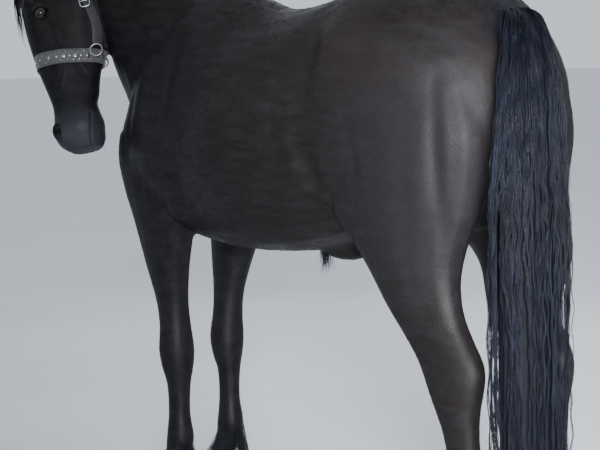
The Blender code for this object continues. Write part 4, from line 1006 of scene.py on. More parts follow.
def taper(count, steps, width):
    """Widths along strands: fine at the root, full in the middle and fine at the tip."""
    part = np.linspace(0.0, 1.0, steps)
    shape = (0.45 + 0.55 * np.sin(math.pi * np.clip(part, 0, 1) ** 0.7)) * (1.0 - 0.55 * part)
    return width * draw.uniform(0.75, 1.25, (count, 1)) * shape[None]


def ear_reach(part):
    """How far round the ear's wall reaches to each side at a part of its length."""
    return math.radians(lerp(168, 112, smooth(part / 0.45)) + 40 * smooth((part - 0.62) / 0.38))


def ear_point(part, depth, width, turn):
    """A point of an ear's wall, at a part of its length and a turn round it."""
    return (EAR_BEND * part * part - depth * math.cos(turn), width * math.sin(turn), part * EAR_LENGTH)


def ear_rings():
    """Rings up a cupped ear: an open shell with a thin wall, along z and open toward x."""
    rings = []
    count, sides = EAR_GRID
    for part, deep, wide in spline_rows(EAR, count):
        part = min(1.0, part)
        wall = 0.0034 * (1.0 - 0.55 * part)
        turns = [ear_reach(part) * (2.0 * k / sides - 1.0) for k in range(sides + 1)]
        inner = max(0.0006, deep - wall) * 0.97, max(0.0006, wide - wall) * 0.97
        ring = []
        for (depth, width), order in (((deep, wide), turns), (inner, turns[::-1])):
            ring += [ear_point(part, depth, width, turn) for turn in order]
        rings.append(ring)
    return rings


def ear_frame(turn, tree, side):
    """Where an ear stands: sunk in the skin of the poll and turned a little outward."""
    place = turn.head()
    high = place @ Vector((EAR_PLACE[0], EAR_PLACE[1] * side, 0.20))
    down = (place.to_3x3() @ Vector((0, 0, -1))).normalized()
    hit = tree.ray_cast(high, down)[0]
    foot = place.inverted() @ (hit + down * EAR_SUNK)
    lean = Matrix.Rotation(math.radians(-17 * side), 4, "X") @ Matrix.Rotation(math.radians(-4), 4, "Y")
    return place @ Matrix.Translation(foot) @ lean @ Matrix.Rotation(math.radians(38 * side), 4, "Z")


def add_ears(skin, turn, tree):
    """Join both ears to the skin's mesh, and give where they stand."""
    frames = [ear_frame(turn, tree, side) for side in (1, -1)]
    ears = [loft_mesh("ear", ear_rings()) for where in frames]
    for ear, where in zip(ears, frames):
        ear.transform(where)
    join_into(skin.data, ears)
    return frames


def build_eye(name, place, side, look):
    """An eyeball with a slightly bulging front."""
    centre = Vector((EYE_PLACE[0], EYE_PLACE[1] * side, EYE_PLACE[2]))
    shape = bmesh.new()
    bmesh.ops.create_uvsphere(shape, u_segments=40, v_segments=28, radius=EYE_RADIUS)
    for vert in shape.verts:
        away = math.hypot(vert.co.x, vert.co.z) / EYE_RADIUS
        if vert.co.y * side > 0:
            vert.co.y += side * 0.0011 * math.exp(-(away / 0.55) ** 4)
        vert.co = place @ (centre + vert.co)
    mesh = bpy.data.meshes.new(name)
    shape.to_mesh(mesh)
    shape.free()
    mesh.shade_smooth()
    return add_object(name, mesh, look)


def coronet_height(leg, x):
    """How high the top of a hoof lies at a place along it."""
    kind = leg.split("_")[0]
    height, slope = CORONET[kind]
    return height + slope * (x - HOOF_CENTRE[kind][0] - leg_shift(leg, height)[0])


def hoof_point(leg, part, cosine, sine, angle):
    """A point of a hoof's wall, at a part of its height and a turn round it."""
    kind = leg.split("_")[0]
    middle_x, middle_y = HOOF_CENTRE[kind]
    heel = 1.0 - 0.05 * math.exp(-(abs(angle - math.pi) / 0.22) ** 2)
    back = 0.80 if cosine < 0 else 1.0
    z = 0.06 * part
    for _ in range(4):
        length, width, forward = (float(np.interp(z, *column)) for column in HOOF_COLUMNS)
        dx, dy = leg_shift(leg, z)
        x = middle_x + dx + forward
        z = part * (coronet_height(leg, x + length * back * heel * cosine) - 0.0006)
    edge = 1.0 - 0.05 * math.exp(-z / 0.0022)
    rings = 0.007 * math.sin(z * 900 + 0.8 * math.sin(2 * angle)) * min(1.0, 20 * z)
    grow = edge * (1.0 + rings + 0.022 * math.exp(-((1.0 - part) / 0.06) ** 2))
    return (x + length * back * heel * cosine * grow, middle_y * STANCE[leg][0] + dy + width * sine * grow, z)


def build_hoof(leg, look):
    """A hoof with a flat sole, a rounded lower edge, growth rings and a slanted top."""
    rings = []
    for k in range(HOOF_RINGS):
        part = (k / (HOOF_RINGS - 1)) ** 0.85
        rings.append([hoof_point(leg, part, c, s, 2 * math.pi * j / HOOF_SIDES)
                      for j, (c, s) in enumerate(around(HOOF_SIDES))])
    return add_object("hoof_" + leg, loft_mesh("hoof_" + leg, rings), look)


def meet(tree, inside, way, reach=0.30):
    """The skin met from inside along a way, or the end of the reach."""
    found = tree.ray_cast(inside, way, reach)[0]
    return found if found is not None else inside + way.normalized() * reach


def strap_section(hits, middle):
    """A strap's section from skin points across it, flat below and softly crowned, and its upper side."""
    outs = [(hit - middle).normalized() for hit in hits]
    below = [hit + out * STRAP_CLEAR * 0.6 for hit, out in zip(hits, outs)]
    above = []
    for k, (hit, out) in enumerate(zip(hits, outs)):
        edge = abs(2.0 * k / (len(hits) - 1) - 1.0)
        above.append(hit + out * (STRAP_CLEAR + STRAP_THICK * (1.0 - 0.35 * edge ** 4)))
    return below + above[::-1], above


def relax(rows, closed, rounds):
    """Even out rows of points along a strap, so that it lies smoothly."""
    data = np.array([[tuple(point) for point in row] for row in rows])
    for _ in range(rounds):
        new = 0.5 * data + 0.25 * (np.roll(data, -1, axis=0) + np.roll(data, 1, axis=0))
        if not closed:
            new[0], new[-1] = data[0], data[-1]
        data = new
    return [[Vector(point) for point in row] for row in data]


def noseband_rows(tree, centre):
    """Rows of skin points round the nose under the noseband."""
    lifts = [Vector((0, 0, (0.5 - j / 6) * NOSEBAND_HEIGHT)) for j in range(7)]
    ways = [Vector((c, s, NOSEBAND_SLOPE * c)) for c, s in around(96)]
    return relax([[meet(tree, centre + lift, way, NOSE_REACH) for lift in lifts] for way in ways], True, 6)


def run_at(path, k):
    """The way a path in the head's x and z runs at one of its points."""
    ahead, behind = path[min(k + 1, len(path) - 1)], path[max(k - 1, 0)]
    return Vector((ahead[0] - behind[0], 0, ahead[2] - behind[2])).normalized()


def headpiece_rows(tree):
    """Rows of skin points under the strap, from cheek over poll to cheek, and their middles."""
    shares = [(0.5 - j / 5) * STRAP_WIDTH for j in range(6)]
    path = spline_rows([(x, 0.0, z) for x, z in CHEEK_PATH], 34)
    cheeks = []
    for side in (1, -1):
        rows = []
        for k, spot in enumerate(path):
            run = run_at(path, k)
            wide = Vector((run.z, 0, -run.x))
            rows.append(([meet(tree, Vector(spot) + wide * share, Vector((0, side, 0))) for share in shares],
                         Vector((NOSEBAND_X, 0.0, spot[2]))))
        cheeks.append(rows)
    centre = Vector(CROWN_CENTRE)
    crown = []
    for k in range(28):
        angle = lerp(CROWN_SPREAD, -CROWN_SPREAD, k / 27)
        way = Vector((0, math.sin(angle), math.cos(angle)))
        crown.append(([meet(tree, centre + Vector((share, 0, 0)), way) for share in shares], centre))
    rows = cheeks[0] + crown + cheeks[1][::-1]
    middles = relax([[middle] for hits, middle in rows], False, 8)
    return relax([hits for hits, middle in rows], False, 8), [row[0] for row in middles]


def tube(points, radius, closed, sides=8):
    """Rows of corners for a round cord along points in the head's frame."""
    count = len(points)
    rows = []
    for k, point in enumerate(points):
        ahead = points[(k + 1) % count] if closed else points[min(k + 1, count - 1)]
        behind = points[k - 1] if closed or k else points[0]
        run = (ahead - behind).normalized()
        first = run.cross(Vector((0.2, 0.3, 1.0))).normalized()
        second = run.cross(first)
        rows.append([point + (first * c + second * s) * radius for c, s in around(sides)])
    return rows


def build_studs(tops, centre):
    """Domed studs on the noseband: a middle row of two sizes, and small ones near both edges."""
    shape = bmesh.new()
    for k in range(0, len(tops), 4):
        spots = [(tops[k][3], LARGE_STUD if k % 8 else MIDDLE_STUD)]
        spots += [(tops[k + 2][edge], SMALL_STUD) for edge in (1, 5)]
        for spot, (radius, height) in spots:
            made = bmesh.ops.create_uvsphere(shape, u_segments=12, v_segments=6, radius=1.0)["verts"]
            spin = (spot - centre).normalized().to_track_quat("Z", "Y").to_matrix().to_4x4()
            size = Matrix.Diagonal((radius, radius, height, 1.0))
            bmesh.ops.transform(shape, matrix=Matrix.Translation(spot) @ spin @ size, verts=made)
    mesh = bpy.data.meshes.new("halter_studs")
    shape.to_mesh(mesh)
    shape.free()
    mesh.shade_smooth()
    return mesh


def build_fitting(name, tree):
    """A ring or the buckle, lying on the strap at a cheek."""
    spot, size, reach, side, square = FITTINGS[name]
    up = Vector((0, side, 0))
    loop = []
    for c, s in around(48):
        far = (abs(c) ** square + abs(s) ** square) ** (-1.0 / square)
        loop.append(Vector((spot[0] + size[0] * c * far, 0.0, spot[1] + size[1] * s * far)))
    skins = [tree.ray_cast(point, up, reach)[0] for point in loop]
    highest = max(side * skin.y for skin in skins if skin is not None)
    lift = up * (highest + STRAP_CLEAR + STRAP_THICK + LOOP_LIFT)
    mesh = loft_mesh(name, tube([point + lift for point in loop], LOOP_RADIUS, True, 10), True)
    if "buckle" in name:
        tongue = [Vector((spot[0] + size[0] * share, 0.0, spot[1])) + lift + up * 0.0018
                  for share in (-1.0, -0.3, 0.4, 1.05)]
        join_into(mesh, [loft_mesh("tongue", tube(tongue, TONGUE_RADIUS, False))])
    return mesh


def build_halter(place, skin, looks):
    """The halter: noseband with rolled edges and studs, cheekpieces, crown strap, rings and buckle."""
    unsunk = skin.data.copy()
    set_points(unsunk, get_points(unsunk) + get_normals(unsunk) * COAT_DEPTH)
    tree = search_tree(unsunk, place.inverted())
    centre = Vector((NOSEBAND_X, 0, -NOSEBAND_DROP))
    sections = [strap_section(row, centre) for row in noseband_rows(tree, centre)]
    tops = [above for section, above in sections]
    band = loft_mesh("halter_noseband", [section for section, above in sections], True)
    edges = [tube([row[edge] for row in tops], EDGE_RADIUS, True) for edge in (0, -1)]
    join_into(band, [loft_mesh("edge", edge, True) for edge in edges])
    strap = [strap_section(row, middle)[0] for row, middle in zip(*headpiece_rows(tree))]
    made = [(band, "noseband", "halter", ["halter_noseband"]),
            (build_studs(tops, centre), "metal", "metal", []),
            (loft_mesh("halter_headpiece", strap), "strap", "halter", ["halter_headpiece"])]
    made += [(build_fitting(name, tree), "metal", "metal", [name]) for name in FITTINGS]
    for mesh, look, slot, nodes in made:
        mesh.transform(place)
        ship(add_object(mesh.name, mesh, looks[look]), slot, *nodes)


def stand_off(point, tree, clear):
    """Push a point out until it is clear of the skin, and give the way out there."""
    near, normal = tree.find_nearest(point)[:2]
    if (point - near).dot(normal) < clear:
        point = near + normal * clear
    return point, normal


def kink(paths, outs, size, length):
    """Bend guides sideways and outward in waves, each clump at its own pace."""
    count = len(paths)
    stride = np.linalg.norm(np.diff(paths, axis=1), axis=2)
    along = np.concatenate([np.zeros((count, 1)), np.cumsum(stride, axis=1)], axis=1)
    across = unit(np.cross(unit(np.gradient(paths, axis=1)), outs))
    grow = np.clip(along / (along[:, -1:] * 0.25), 0.0, 1.0)
    wave = draw.uniform(0.75, 1.3, (count, 1)) * length
    phase = draw.uniform(0, 2 * math.pi, (count, 1))
    turn = along * 2 * math.pi / wave
    drift = 2.2 * np.sin(phase * 3 + turn / 5.3)
    sway = np.sin(phase + turn + drift * 0.4) + drift * 0.5
    side = size * draw.uniform(0.5, 1.3, (count, 1)) * grow * sway
    rise = size * 0.7 * grow * np.sin(phase * 2 + turn / 1.27)
    return paths + across * side[:, :, None] + outs * rise[:, :, None]


def grow_strands(names, kind, paths, outs, look, *nodes):
    """Grow kinked strands in clumps round guide paths, and ship them in pieces."""
    bend, each, spread, steps, width = STRANDS[kind]
    paths = kink(np.array(paths), unit(np.array(outs)), *bend)
    paths[:, :, 2] = np.maximum(paths[:, :, 2], 0.004)
    many, ways = fan(paths, unit(np.array(outs)), max(3, round(each * FINE)), *spread, steps)
    many[:, :, 2] = np.maximum(many[:, :, 2], 0.003)
    widths = taper(len(many), steps, width)
    for name, chosen in zip(names, np.array_split(np.arange(len(many)), len(names))):
        piece = strands(name, many[chosen], ways[chosen], widths[chosen], look)
        ship(piece, "hair", *(nodes if name == names[0] else ()))


def even_out(paths):
    """Smooth guide paths between their ends."""
    paths = np.array(paths)
    for _ in range(2):
        paths[:, 1:-1] = 0.5 * paths[:, 1:-1] + 0.25 * (paths[:, :-2] + paths[:, 2:])
    return paths


def build_core(look):
    """The dark core of the tail, which closes the gaps between its strands."""
    core = []
    for k, (x, y, z, wide, deep) in enumerate(TAIL[:9]):
        share, drop = CORE_TOP if k < 3 else CORE_BELOW
        core.append((x, y, z - drop, wide * share, deep * share))
    core += [(*TAIL[9][:3], 0.062, 0.034), (*TAIL[10][:3], 0.010, 0.008)]
    table = spline_rows(core, 60)
    rings = []
    for k, (x, y, z, wide, deep) in enumerate(table):
        run = run_at(table, k)
        out = Vector((-run.z, 0, run.x))
        rings.append([Vector((x, y + wide * s, z)) + out * deep * c for c, s in around(24)])
    ship(add_object("tail_core", loft_mesh("tail_core", rings), look), "hair")


def build_tail(look):
    """The tail: clumps of long kinked strands from the dock."""
    rows = np.array(spline_rows(TAIL, 100))
    numbers = np.arange(len(rows))
    paths = []
    outs = []
    part = np.linspace(0.0, 1.0, 80)
    for k in range(TAIL_CLUMPS):
        layer = 1.0 if k < TAIL_CLUMPS * 0.72 else draw.uniform(0.25, 0.75)
        angle = 2 * math.pi * (k * GOLDEN_TURN + draw.uniform(-0.01, 0.01))
        first = draw.uniform(0.0, 0.20) * numbers[-1]
        last = numbers[-1] * (draw.uniform(0.90, 0.995) if draw.random() > 0.18 else draw.uniform(0.62, 0.88))
        twist = draw.uniform(-0.35, 0.35)
        wave = draw.uniform(0, 2 * math.pi)
        at = first + (last - first) * part
        x, y, z, wide, deep = (np.interp(at, numbers, rows[:, j]) for j in range(5))
        turn = angle + twist * part
        share = layer * draw.uniform(0.84, 0.93) * np.minimum(1.0, 0.30 + 3.2 * part)
        share *= 1.0 + 0.07 * np.sin(wave + 8.0 * part)
        share *= 1.0 - 0.35 * np.clip((part - 0.88) / 0.12, 0, 1)
        along = np.cos(turn) * deep * np.where(np.cos(turn) > 0, 0.72, 1.0)
        paths.append(np.stack([x + along * share, y + np.sin(turn) * wide * share, z], axis=1))
        outs.append(np.stack([np.cos(turn), np.sin(turn), np.zeros(len(part))], axis=1))
    grow_strands(["tail_strands_%d" % (k + 1) for k in range(4)], "tail", paths, outs, look, "tail")


def build_mane(turn, tree, look):
    """The mane: clumps rooted along the crest, most falling to the right."""
    table = np.array(NECK)
    paths = []
    outs = []
    for k in range(MANE_CLUMPS):
        at = lerp(*MANE_ROWS, (k + draw.uniform(0.2, 0.8)) / MANE_CLUMPS)
        row = int(at)
        cx, cz, ux, uz, half = lerp(table[row], table[row + 1], at - row)
        where = turn.frame(neck_part(lerp(cx, ux, 0.5), lerp(cz, uz, 0.5)))
        length = MANE_LENGTH * draw.uniform(0.70, 1.08) * (0.45 + 0.55 * smooth((k + 4) / 16))
        clear = draw.uniform(0.010, 0.030)
        sway = draw.uniform(-0.055, 0.025)
        aside = draw.uniform(-0.012, 0.012)
        points = [(where @ Vector((cx, aside, cz - 0.012)), where.to_3x3() @ Vector((0, -0.5, 0.9)))]
        for part in np.linspace(0.0, 1.0, 16)[1:]:
            y = aside * (1 - part) - 0.010 - half * min(1.0, 3.0 * part)
            rise = 0.028 * math.sin(math.pi * min(1.0, part / 0.22))
            spot = Vector((cx + sway * part, y, cz - length * part + 0.012 + rise))
            points.append(stand_off(where @ spot, tree, clear))
        paths.append([tuple(spot) for spot, way in points])
        outs.append([tuple(way) for spot, way in points])
    grow_strands(["mane_strands_1", "mane_strands_2"], "mane", even_out(paths), outs, look)


def build_forelock(place, tree, look):
    """The forelock: clumps between the ears that hang down the face."""
    out = place.to_3x3() @ Vector((1, 0, 0.25))
    up = place.to_3x3() @ Vector((0, 0, 1))
    paths = []
    for k in range(FORELOCK_CLUMPS):
        aside = lerp(-0.042, 0.042, k / (FORELOCK_CLUMPS - 1)) + draw.uniform(-0.003, 0.003)
        short = draw.uniform(0.78, 1.06) - 2.0 * abs(aside)
        near = draw.uniform(0.0, 0.034) if k % 4 else 0.0
        path = []
        for j, (x, z) in enumerate(spline_rows(FORELOCK, 14)):
            spread = float(np.interp(j / 13 * 5, range(6), FORELOCK_SPREAD))
            spot = place @ Vector((x - near * min(1.0, j / 6), aside * spread, z * short if j > 4 else z))
            path.append(tuple(spot if j < 4 else stand_off(spot, tree, draw.uniform(0.006, 0.018))[0]))
        paths.append(path)
    outs = [[tuple(up + out * min(1.0, j / 4)) for j in range(14)]] * len(paths)
    grow_strands(["forelock_strands"], "forelock", even_out(paths), outs, look)


def build_feathers(leg, look):
    """The feather of a leg: clumps from behind the cannon down over the sides and back of the hoof."""
    kind = leg.split("_")[0]
    y = HOOF_CENTRE[kind][1] * STANCE[leg][0]
    (high_x, high_z), (low_x, low_z) = FEATHER_AXIS[kind]
    paths = []
    outs = []
    for _ in range(FEATHER_CLUMPS):
        share = draw.uniform(-1.0, 1.0)
        layer = draw.uniform(0.0, 1.0) ** 1.3
        turn = math.pi + FEATHER_TURN * share
        top = FEATHER_TOP[kind] - 0.10 * abs(share) - 0.13 * layer
        tip = max(0.010, low_z - 0.012 + draw.uniform(0.0, 0.030) + 0.02 * abs(share))
        path = []
        for part in np.linspace(0.0, 1.0, 10):
            reach = float(np.interp(part, *FEATHER_REACH)) * (1.0 - 0.16 * layer)
            z = lerp(top, tip, part)
            dx, dy = leg_shift(leg, z)
            x = lerp(low_x, high_x, min(1.0, (z - low_z) / (high_z - low_z)))
            path.append((x + dx + math.cos(turn) * reach, y + dy + math.sin(turn) * reach, z))
        paths.append(path)
        outs.append([(math.cos(turn), math.sin(turn), 0.0)] * 10)
    grow_strands(["feather_strands_" + leg], "feather", paths, outs, look)


def bristles(name, rows, look):
    """Single curved hairs from rows of root, way and length."""
    droop, width = BRISTLES[name]
    roots, ways, lengths = (np.array(column) for column in zip(*rows))
    ways = unit(ways)
    part = np.linspace(0.0, 1.0, 7)
    paths = roots[:, None] + ways[:, None] * (lengths[:, None, None] * part[None, :, None])
    paths = paths + np.array([0, 0, -1.0]) * (droop * lengths[:, None] * part[None] ** 2)[:, :, None]
    outs = np.repeat(np.cross(ways, [0.3, 0.2, 0.9])[:, None], 7, axis=1)
    widths = width * (1.0 - 0.85 * part)[None] * np.ones((len(roots), 1))
    ship(strands(name, paths, unit(outs), widths, look), "hair")


def face_bristles(place, tree):
    """Whiskers on the muzzle and chin, and the lashes."""
    spin = place.to_3x3()
    rows = []
    for k in range(WHISKERS):
        side = 1 if k % 2 else -1
        spot = Vector((draw.uniform(-0.085, 0.050), side * 0.16, draw.uniform(-0.680, -0.575)))
        hit, normal = tree.ray_cast(place @ spot, spin @ Vector((0, -side, 0)))[:2]
        if hit is None:
            continue
        way = normal + spin @ Vector((draw.uniform(-0.3, 0.1), 0, -0.5))
        rows.append((tuple(hit - normal * 0.002), tuple(way), draw.uniform(0.012, 0.042)))
    for side in (1, -1):
        for k in range(LASHES):
            share = k / (LASHES - 1) * 2 - 1
            x, z = 0.0190 * share, 0.0120 * math.sqrt(max(0.0, 1 - share * share))
            reach = math.sqrt(max(0.0, EYE_RADIUS ** 2 - x * x - z * z))
            spot = Vector((EYE_PLACE[0] + x, side * (EYE_PLACE[1] + reach + 0.0015), EYE_PLACE[2] + z))
            way = spin @ Vector((0.35 * share, side * 1.0, -0.25 + draw.uniform(-0.1, 0.1)))
            rows.append((tuple(place @ spot), tuple(way), draw.uniform(0.012, 0.017)))
    return rows


def ear_hair(ears):
    """The hair inside the ears."""
    parts, depths, widths = zip(*EAR)
    rows = []
    for where in ears:
        for _ in range(round(EAR_HAIRS * max(FINE, 0.3))):
            part = draw.uniform(0.16, 0.80)
            deep, wide = (float(np.interp(part, parts, column)) - 0.004 for column in (depths, widths))
            turn = ear_reach(part) * draw.choice([-1, 1]) * draw.uniform(0.55, 0.99)
            spot = Vector(ear_point(part, deep, wide, turn))
            way = Vector((0.55 + draw.uniform(-0.2, 0.2), -0.55 * math.sin(turn), 0.7))
            rows.append((tuple(where @ spot), tuple(where.to_3x3() @ way), draw.uniform(0.010, 0.026)))
    return rows


def belly_tuft():
    """The tuft under the belly."""
    (x, _, z), (long, _, high) = SHEATH
    ahead = draw.normal(0.084, 0.007, BELLY_HAIRS)
    below = z - high * np.sqrt(np.maximum(0.05, 1 - (ahead / long) ** 2)) + 0.006
    roots = np.stack([x + ahead, draw.normal(0.0, 0.007, BELLY_HAIRS), below], axis=1)
    ways = np.stack([draw.normal(0.05, 0.15, BELLY_HAIRS), draw.normal(0, 0.15, BELLY_HAIRS),
                     -np.ones(BELLY_HAIRS)], axis=1)
    return list(zip(roots, ways, draw.uniform(0.025, 0.065, BELLY_HAIRS)))


def coat_flow(points, turn, place):
    """Which way the coat lies at points of the skin, and how far they are on the head and on a leg."""
    x, _, z = points.T
    head_way = np.array(place.to_3x3() @ Vector((0.0, 0, -1)))
    neck_way = np.array((turn.path[0] - turn.path[-1]).normalized() + Vector((0, 0, -0.75)))
    away = np.linalg.norm(to_frame(points, place) - HEAD_MIDDLE, axis=1)
    head = np.exp(-(np.maximum(0.0, away - 0.30) / 0.10) ** 2)
    neck = np.clip((x - 0.45) / 0.30, 0, 1) * np.clip((z - 1.15) / 0.25, 0, 1)
    leg = np.clip((1.02 - z) / 0.16, 0, 1) * ((x > 0.36) | (x < -0.30))
    thigh = np.clip((-0.35 - x) / 0.25, 0, 1) * (1 - leg)
    flow = TRUNK_WAY * (1 - leg[:, None]) + LEG_WAY * leg[:, None] + thigh[:, None] * THIGH_WAY
    flow = flow * (1 - neck[:, None]) + neck_way * neck[:, None]
    return flow * (1 - head[:, None]) + head_way * head[:, None], head, leg


def bare_places(roots, place):
    """Which roots lie on an eye, in a nostril, on the lips' line or on a hoof."""
    local = to_frame(roots, place)
    bare = (line_distance(local[:, [0, 2]], MOUTH) < 0.007) & (local[:, 2] < MOUTH_TOP)
    for side in (1, -1):
        bare |= (eye_reach(local, side) < 1.12) & (local[:, 2] < -0.18) & (local[:, 2] > -0.29)
        bare |= nostril_reach(local, side) <= 1.5
    for leg in STANCE:
        kind = leg.split("_")[0]
        spot = np.array([HOOF_CENTRE[kind][0], HOOF_CENTRE[kind][1] * STANCE[leg][0]]) + leg_shift(leg, 0.06)
        near = np.linalg.norm(roots[:, :2] - spot, axis=1) < 0.11
        height, slope = CORONET[kind]
        bare |= near & (roots[:, 2] < height + 0.004 + slope * (roots[:, 0] - spot[0]))
    return bare


def build_coat(skin, turn, place, look):
    """Short tufts all over the skin, smallest on the face and the feet."""
    mesh = skin.data
    mesh.calc_loop_triangles()
    tris = np.empty(len(mesh.loop_triangles) * 3, dtype=np.int32)
    mesh.loop_triangles.foreach_get("vertices", tris)
    tris = tris.reshape(-1, 3)
    corner = get_points(mesh)[tris]
    area = 0.5 * np.linalg.norm(np.cross(corner[:, 1] - corner[:, 0], corner[:, 2] - corner[:, 0]), axis=1)
    middle = corner.mean(axis=1)
    local = to_frame(middle, place)
    on_head = (np.linalg.norm(local - HEAD_MIDDLE, axis=1) < 0.46) & (local[:, 2] > -0.75)
    on_head_share, low_share = TUFT_SHARES
    weight = area * np.where(on_head, on_head_share, np.where(middle[:, 2] < 0.55, low_share, 1.0))
    total = round(TUFTS * FINE)
    chosen = draw.choice(len(tris), total, p=weight / weight.sum())
    mix = draw.dirichlet((1, 1, 1), total)
    roots = (corner[chosen] * mix[:, :, None]).sum(axis=1)
    ways = unit((get_normals(mesh)[tris[chosen]] * mix[:, :, None]).sum(axis=1))
    keep = ~bare_places(roots, place)
    roots, ways = roots[keep], ways[keep]
    flow, head, leg = coat_flow(roots, turn, place)
    flow = flow + TUFT_STRAY * draw.normal(0, 1, flow.shape)
    flow = unit(flow - ways * (flow * ways).sum(axis=1, keepdims=True))
    muzzle = np.clip((-0.46 - to_frame(roots, place)[:, 2]) / 0.10, 0, 1) * (head > 0.5)
    on_trunk, on_leg, on_face = TUFT_LENGTHS
    lengths = on_trunk * (1 - head) * (1 - leg) + on_leg * leg + on_face * head * (1 - leg)
    lengths = lengths * (1 - 0.45 * muzzle) * draw.uniform(0.7, 1.2, len(roots))
    lift = np.radians(draw.uniform(*TUFT_LIFT, len(roots)))
    x, y, z = roots.T
    low = z < LEG_LINE
    front = ~low & (x > FRONT_LINE)
    groups = {"coat_trunk_left": ~low & ~front & (y >= 0), "coat_trunk_right": ~low & ~front & (y < 0),
              "coat_front": front, "coat_legs": low}
    for name, some in groups.items():
        widths = lengths[some] * TUFT_WIDTH[0] + TUFT_WIDTH[1]
        tufts = spikes(name, roots[some], ways[some], flow[some], lengths[some], widths, lift[some], look)
        ship(tufts, "coat")


class Look:
    """A material made of nodes, with short ways to add and join them."""

    def __init__(self, name):
        self.material = bpy.data.materials.new(name)
        self.material.use_nodes = True
        self.tree = self.material.node_tree
        self.shader = self.tree.nodes["Principled BSDF"]
        self.place = self.add("ShaderNodeTexCoord").outputs["Object"]

    def add(self, kind, *entries, **settings):
        """Add a node with its settings, and the values of its inputs by number or by name."""
        node = self.tree.nodes.new(kind)
        for key, value in settings.items():
            if key in node.inputs:
                self.feed(node.inputs[key], value)
            else:
                setattr(node, key, value)
        for number, value in entries:
            self.feed(node.inputs[number], value)
        return node

    def feed(self, entry, value):
        """Join a value or another node's output to an input."""
        if isinstance(value, bpy.types.NodeSocket):
            self.tree.links.new(value, entry)
        else:
            entry.default_value = value

    def finish(self, base, rough, relief=None, **more):
        """Set the shader's colour, roughness, relief and other sockets, and give the material."""
        if relief:
            height, strength, distance = relief
            bump = self.add("ShaderNodeBump", Strength=strength, Distance=distance, Height=height)
            more["Normal"] = bump.outputs["Normal"]
        for key, value in {"Base_Color": base, "Roughness": rough, **more}.items():
            self.feed(self.shader.inputs[key.replace("_", " ")], value)
        return self.material

    def noise(self, scale, detail=4.0, rough=0.55, stretch=None, twist=0.0, turn=(0.0, 0.0, 0.0)):
        """A noise between 0 and 1, over the object's places or over these turned and stretched."""
        where = self.place
        if stretch is not None:
            moved = self.add("ShaderNodeMapping", Vector=where, Scale=stretch, Rotation=turn)
            where = moved.outputs["Vector"]
        made = self.add("ShaderNodeTexNoise", Vector=where, Scale=scale, Detail=detail, Roughness=rough,
                        Distortion=twist)
        return made.outputs["Fac"]

    def ramp(self, value, low, high, to_low=0.0, to_high=1.0):
        """Carry a range of values to another."""
        node = self.add("ShaderNodeMapRange", *enumerate((value, low, high, to_low, to_high)),
                        interpolation_type="SMOOTHSTEP")
        return node.outputs["Result"]

    def mix(self, share, first, second):
        """Blend two colours."""
        return self.add("ShaderNodeMix", (0, share), (6, first), (7, second), data_type="RGBA").outputs[2]

    def blend(self, share, first, second):
        """Blend two numbers."""
        return self.add("ShaderNodeMix", (0, share), (2, first), (3, second), data_type="FLOAT").outputs[0]

    def maths(self, kind, first, second):
        """One sum."""
        return self.add("ShaderNodeMath", (0, first), (1, second), operation=kind).outputs[0]

    def axis(self, which):
        """One of the object's coordinates."""
        return self.add("ShaderNodeSeparateXYZ", (0, self.place)).outputs[which]

    def blob(self, centre, radius, soft):
        """1 near a place of the stations' frame and 0 away from it."""
        spot = Vector(centre) + SHIFT
        away = self.add("ShaderNodeVectorMath", (0, self.place), (1, spot), operation="DISTANCE")
        return self.ramp(away.outputs["Value"], radius, radius + soft, 1.0, 0.0)


def coat_colour(look, place):
    """The black coat's colour: cool in front, sunburnt brown over the rump and grey-blue on the muzzle, with
    painted light on it: a painted sheen over the thigh, a painted highlight on the lip, and painted shade
    over the top of the back and inside the nostrils.
    """
    fore = look.ramp(look.axis("X"), -0.35, 0.65)
    base = look.mix(fore, (0.0062, 0.0050, 0.0050, 1), (0.0042, 0.0040, 0.0056, 1))
    rusty = look.blob((-0.50, 0.20, 1.36), 0.10, 0.38)
    patchy = look.maths("MULTIPLY", rusty, look.ramp(look.noise(2.2, 3.0), 0.25, 0.75))
    base = look.mix(patchy, base, (0.0135, 0.0100, 0.0092, 1))
    # Painted sheen: a lighter grey-blue patch over the thigh and buttock, where the light falls on the coat.
    thigh_sheen = look.blob((-0.62, 0.26, 1.10), 0.06, 0.34)
    base = look.mix(look.maths("MULTIPLY", thigh_sheen, 0.6), base, (0.0120, 0.0118, 0.0140, 1))
    # Painted shade: the coat is darkened over the top of the back and rump.
    base = look.mix(look.ramp(look.axis("Z"), 1.38, 1.56, 0.0, 0.75), base, (0.0040, 0.0030, 0.0030, 1))
    streak = look.noise(38.0, 5.0, 0.6, (0.25, 1.0, 1.0), 0.4)
    base = look.mix(look.ramp(streak, 0.35, 0.75, 0.0, 0.55), base, (0.0120, 0.0112, 0.0125, 1))
    dock = look.blob((TAIL[0][0] - 0.01, 0.0, TAIL[0][2] - 0.03), 0.045, 0.10)
    base = look.mix(dock, base, (0.0036, 0.0042, 0.0070, 1))
    muzzle = look.blob(place @ Vector((0.005, 0.0, -0.640)), 0.050, 0.085)
    base = look.mix(look.maths("MULTIPLY", muzzle, 0.85), base, (0.0240, 0.0255, 0.0310, 1))
    # Painted highlight: a lighter spot on the upper lip in front of the mouth's corner.
    lip_highlight = look.blob(place @ Vector((-0.018, 0.062, -0.615)), 0.006, 0.020)
    base = look.mix(look.maths("MULTIPLY", lip_highlight, 0.7), base, (0.0420, 0.0410, 0.0480, 1))
    # Painted shade: very dark patches inside the nostrils, where their hollows lie in shade.
    x, y, z = NOSTRIL_PLACE
    for side in (1, -1):
        inside = look.blob(place @ Vector((x - 0.008, (y - 0.014) * side, z + 0.007)), 0.010, 0.009)
        base = look.mix(inside, base, (0.0018, 0.0015, 0.0018, 1))
    return base, muzzle


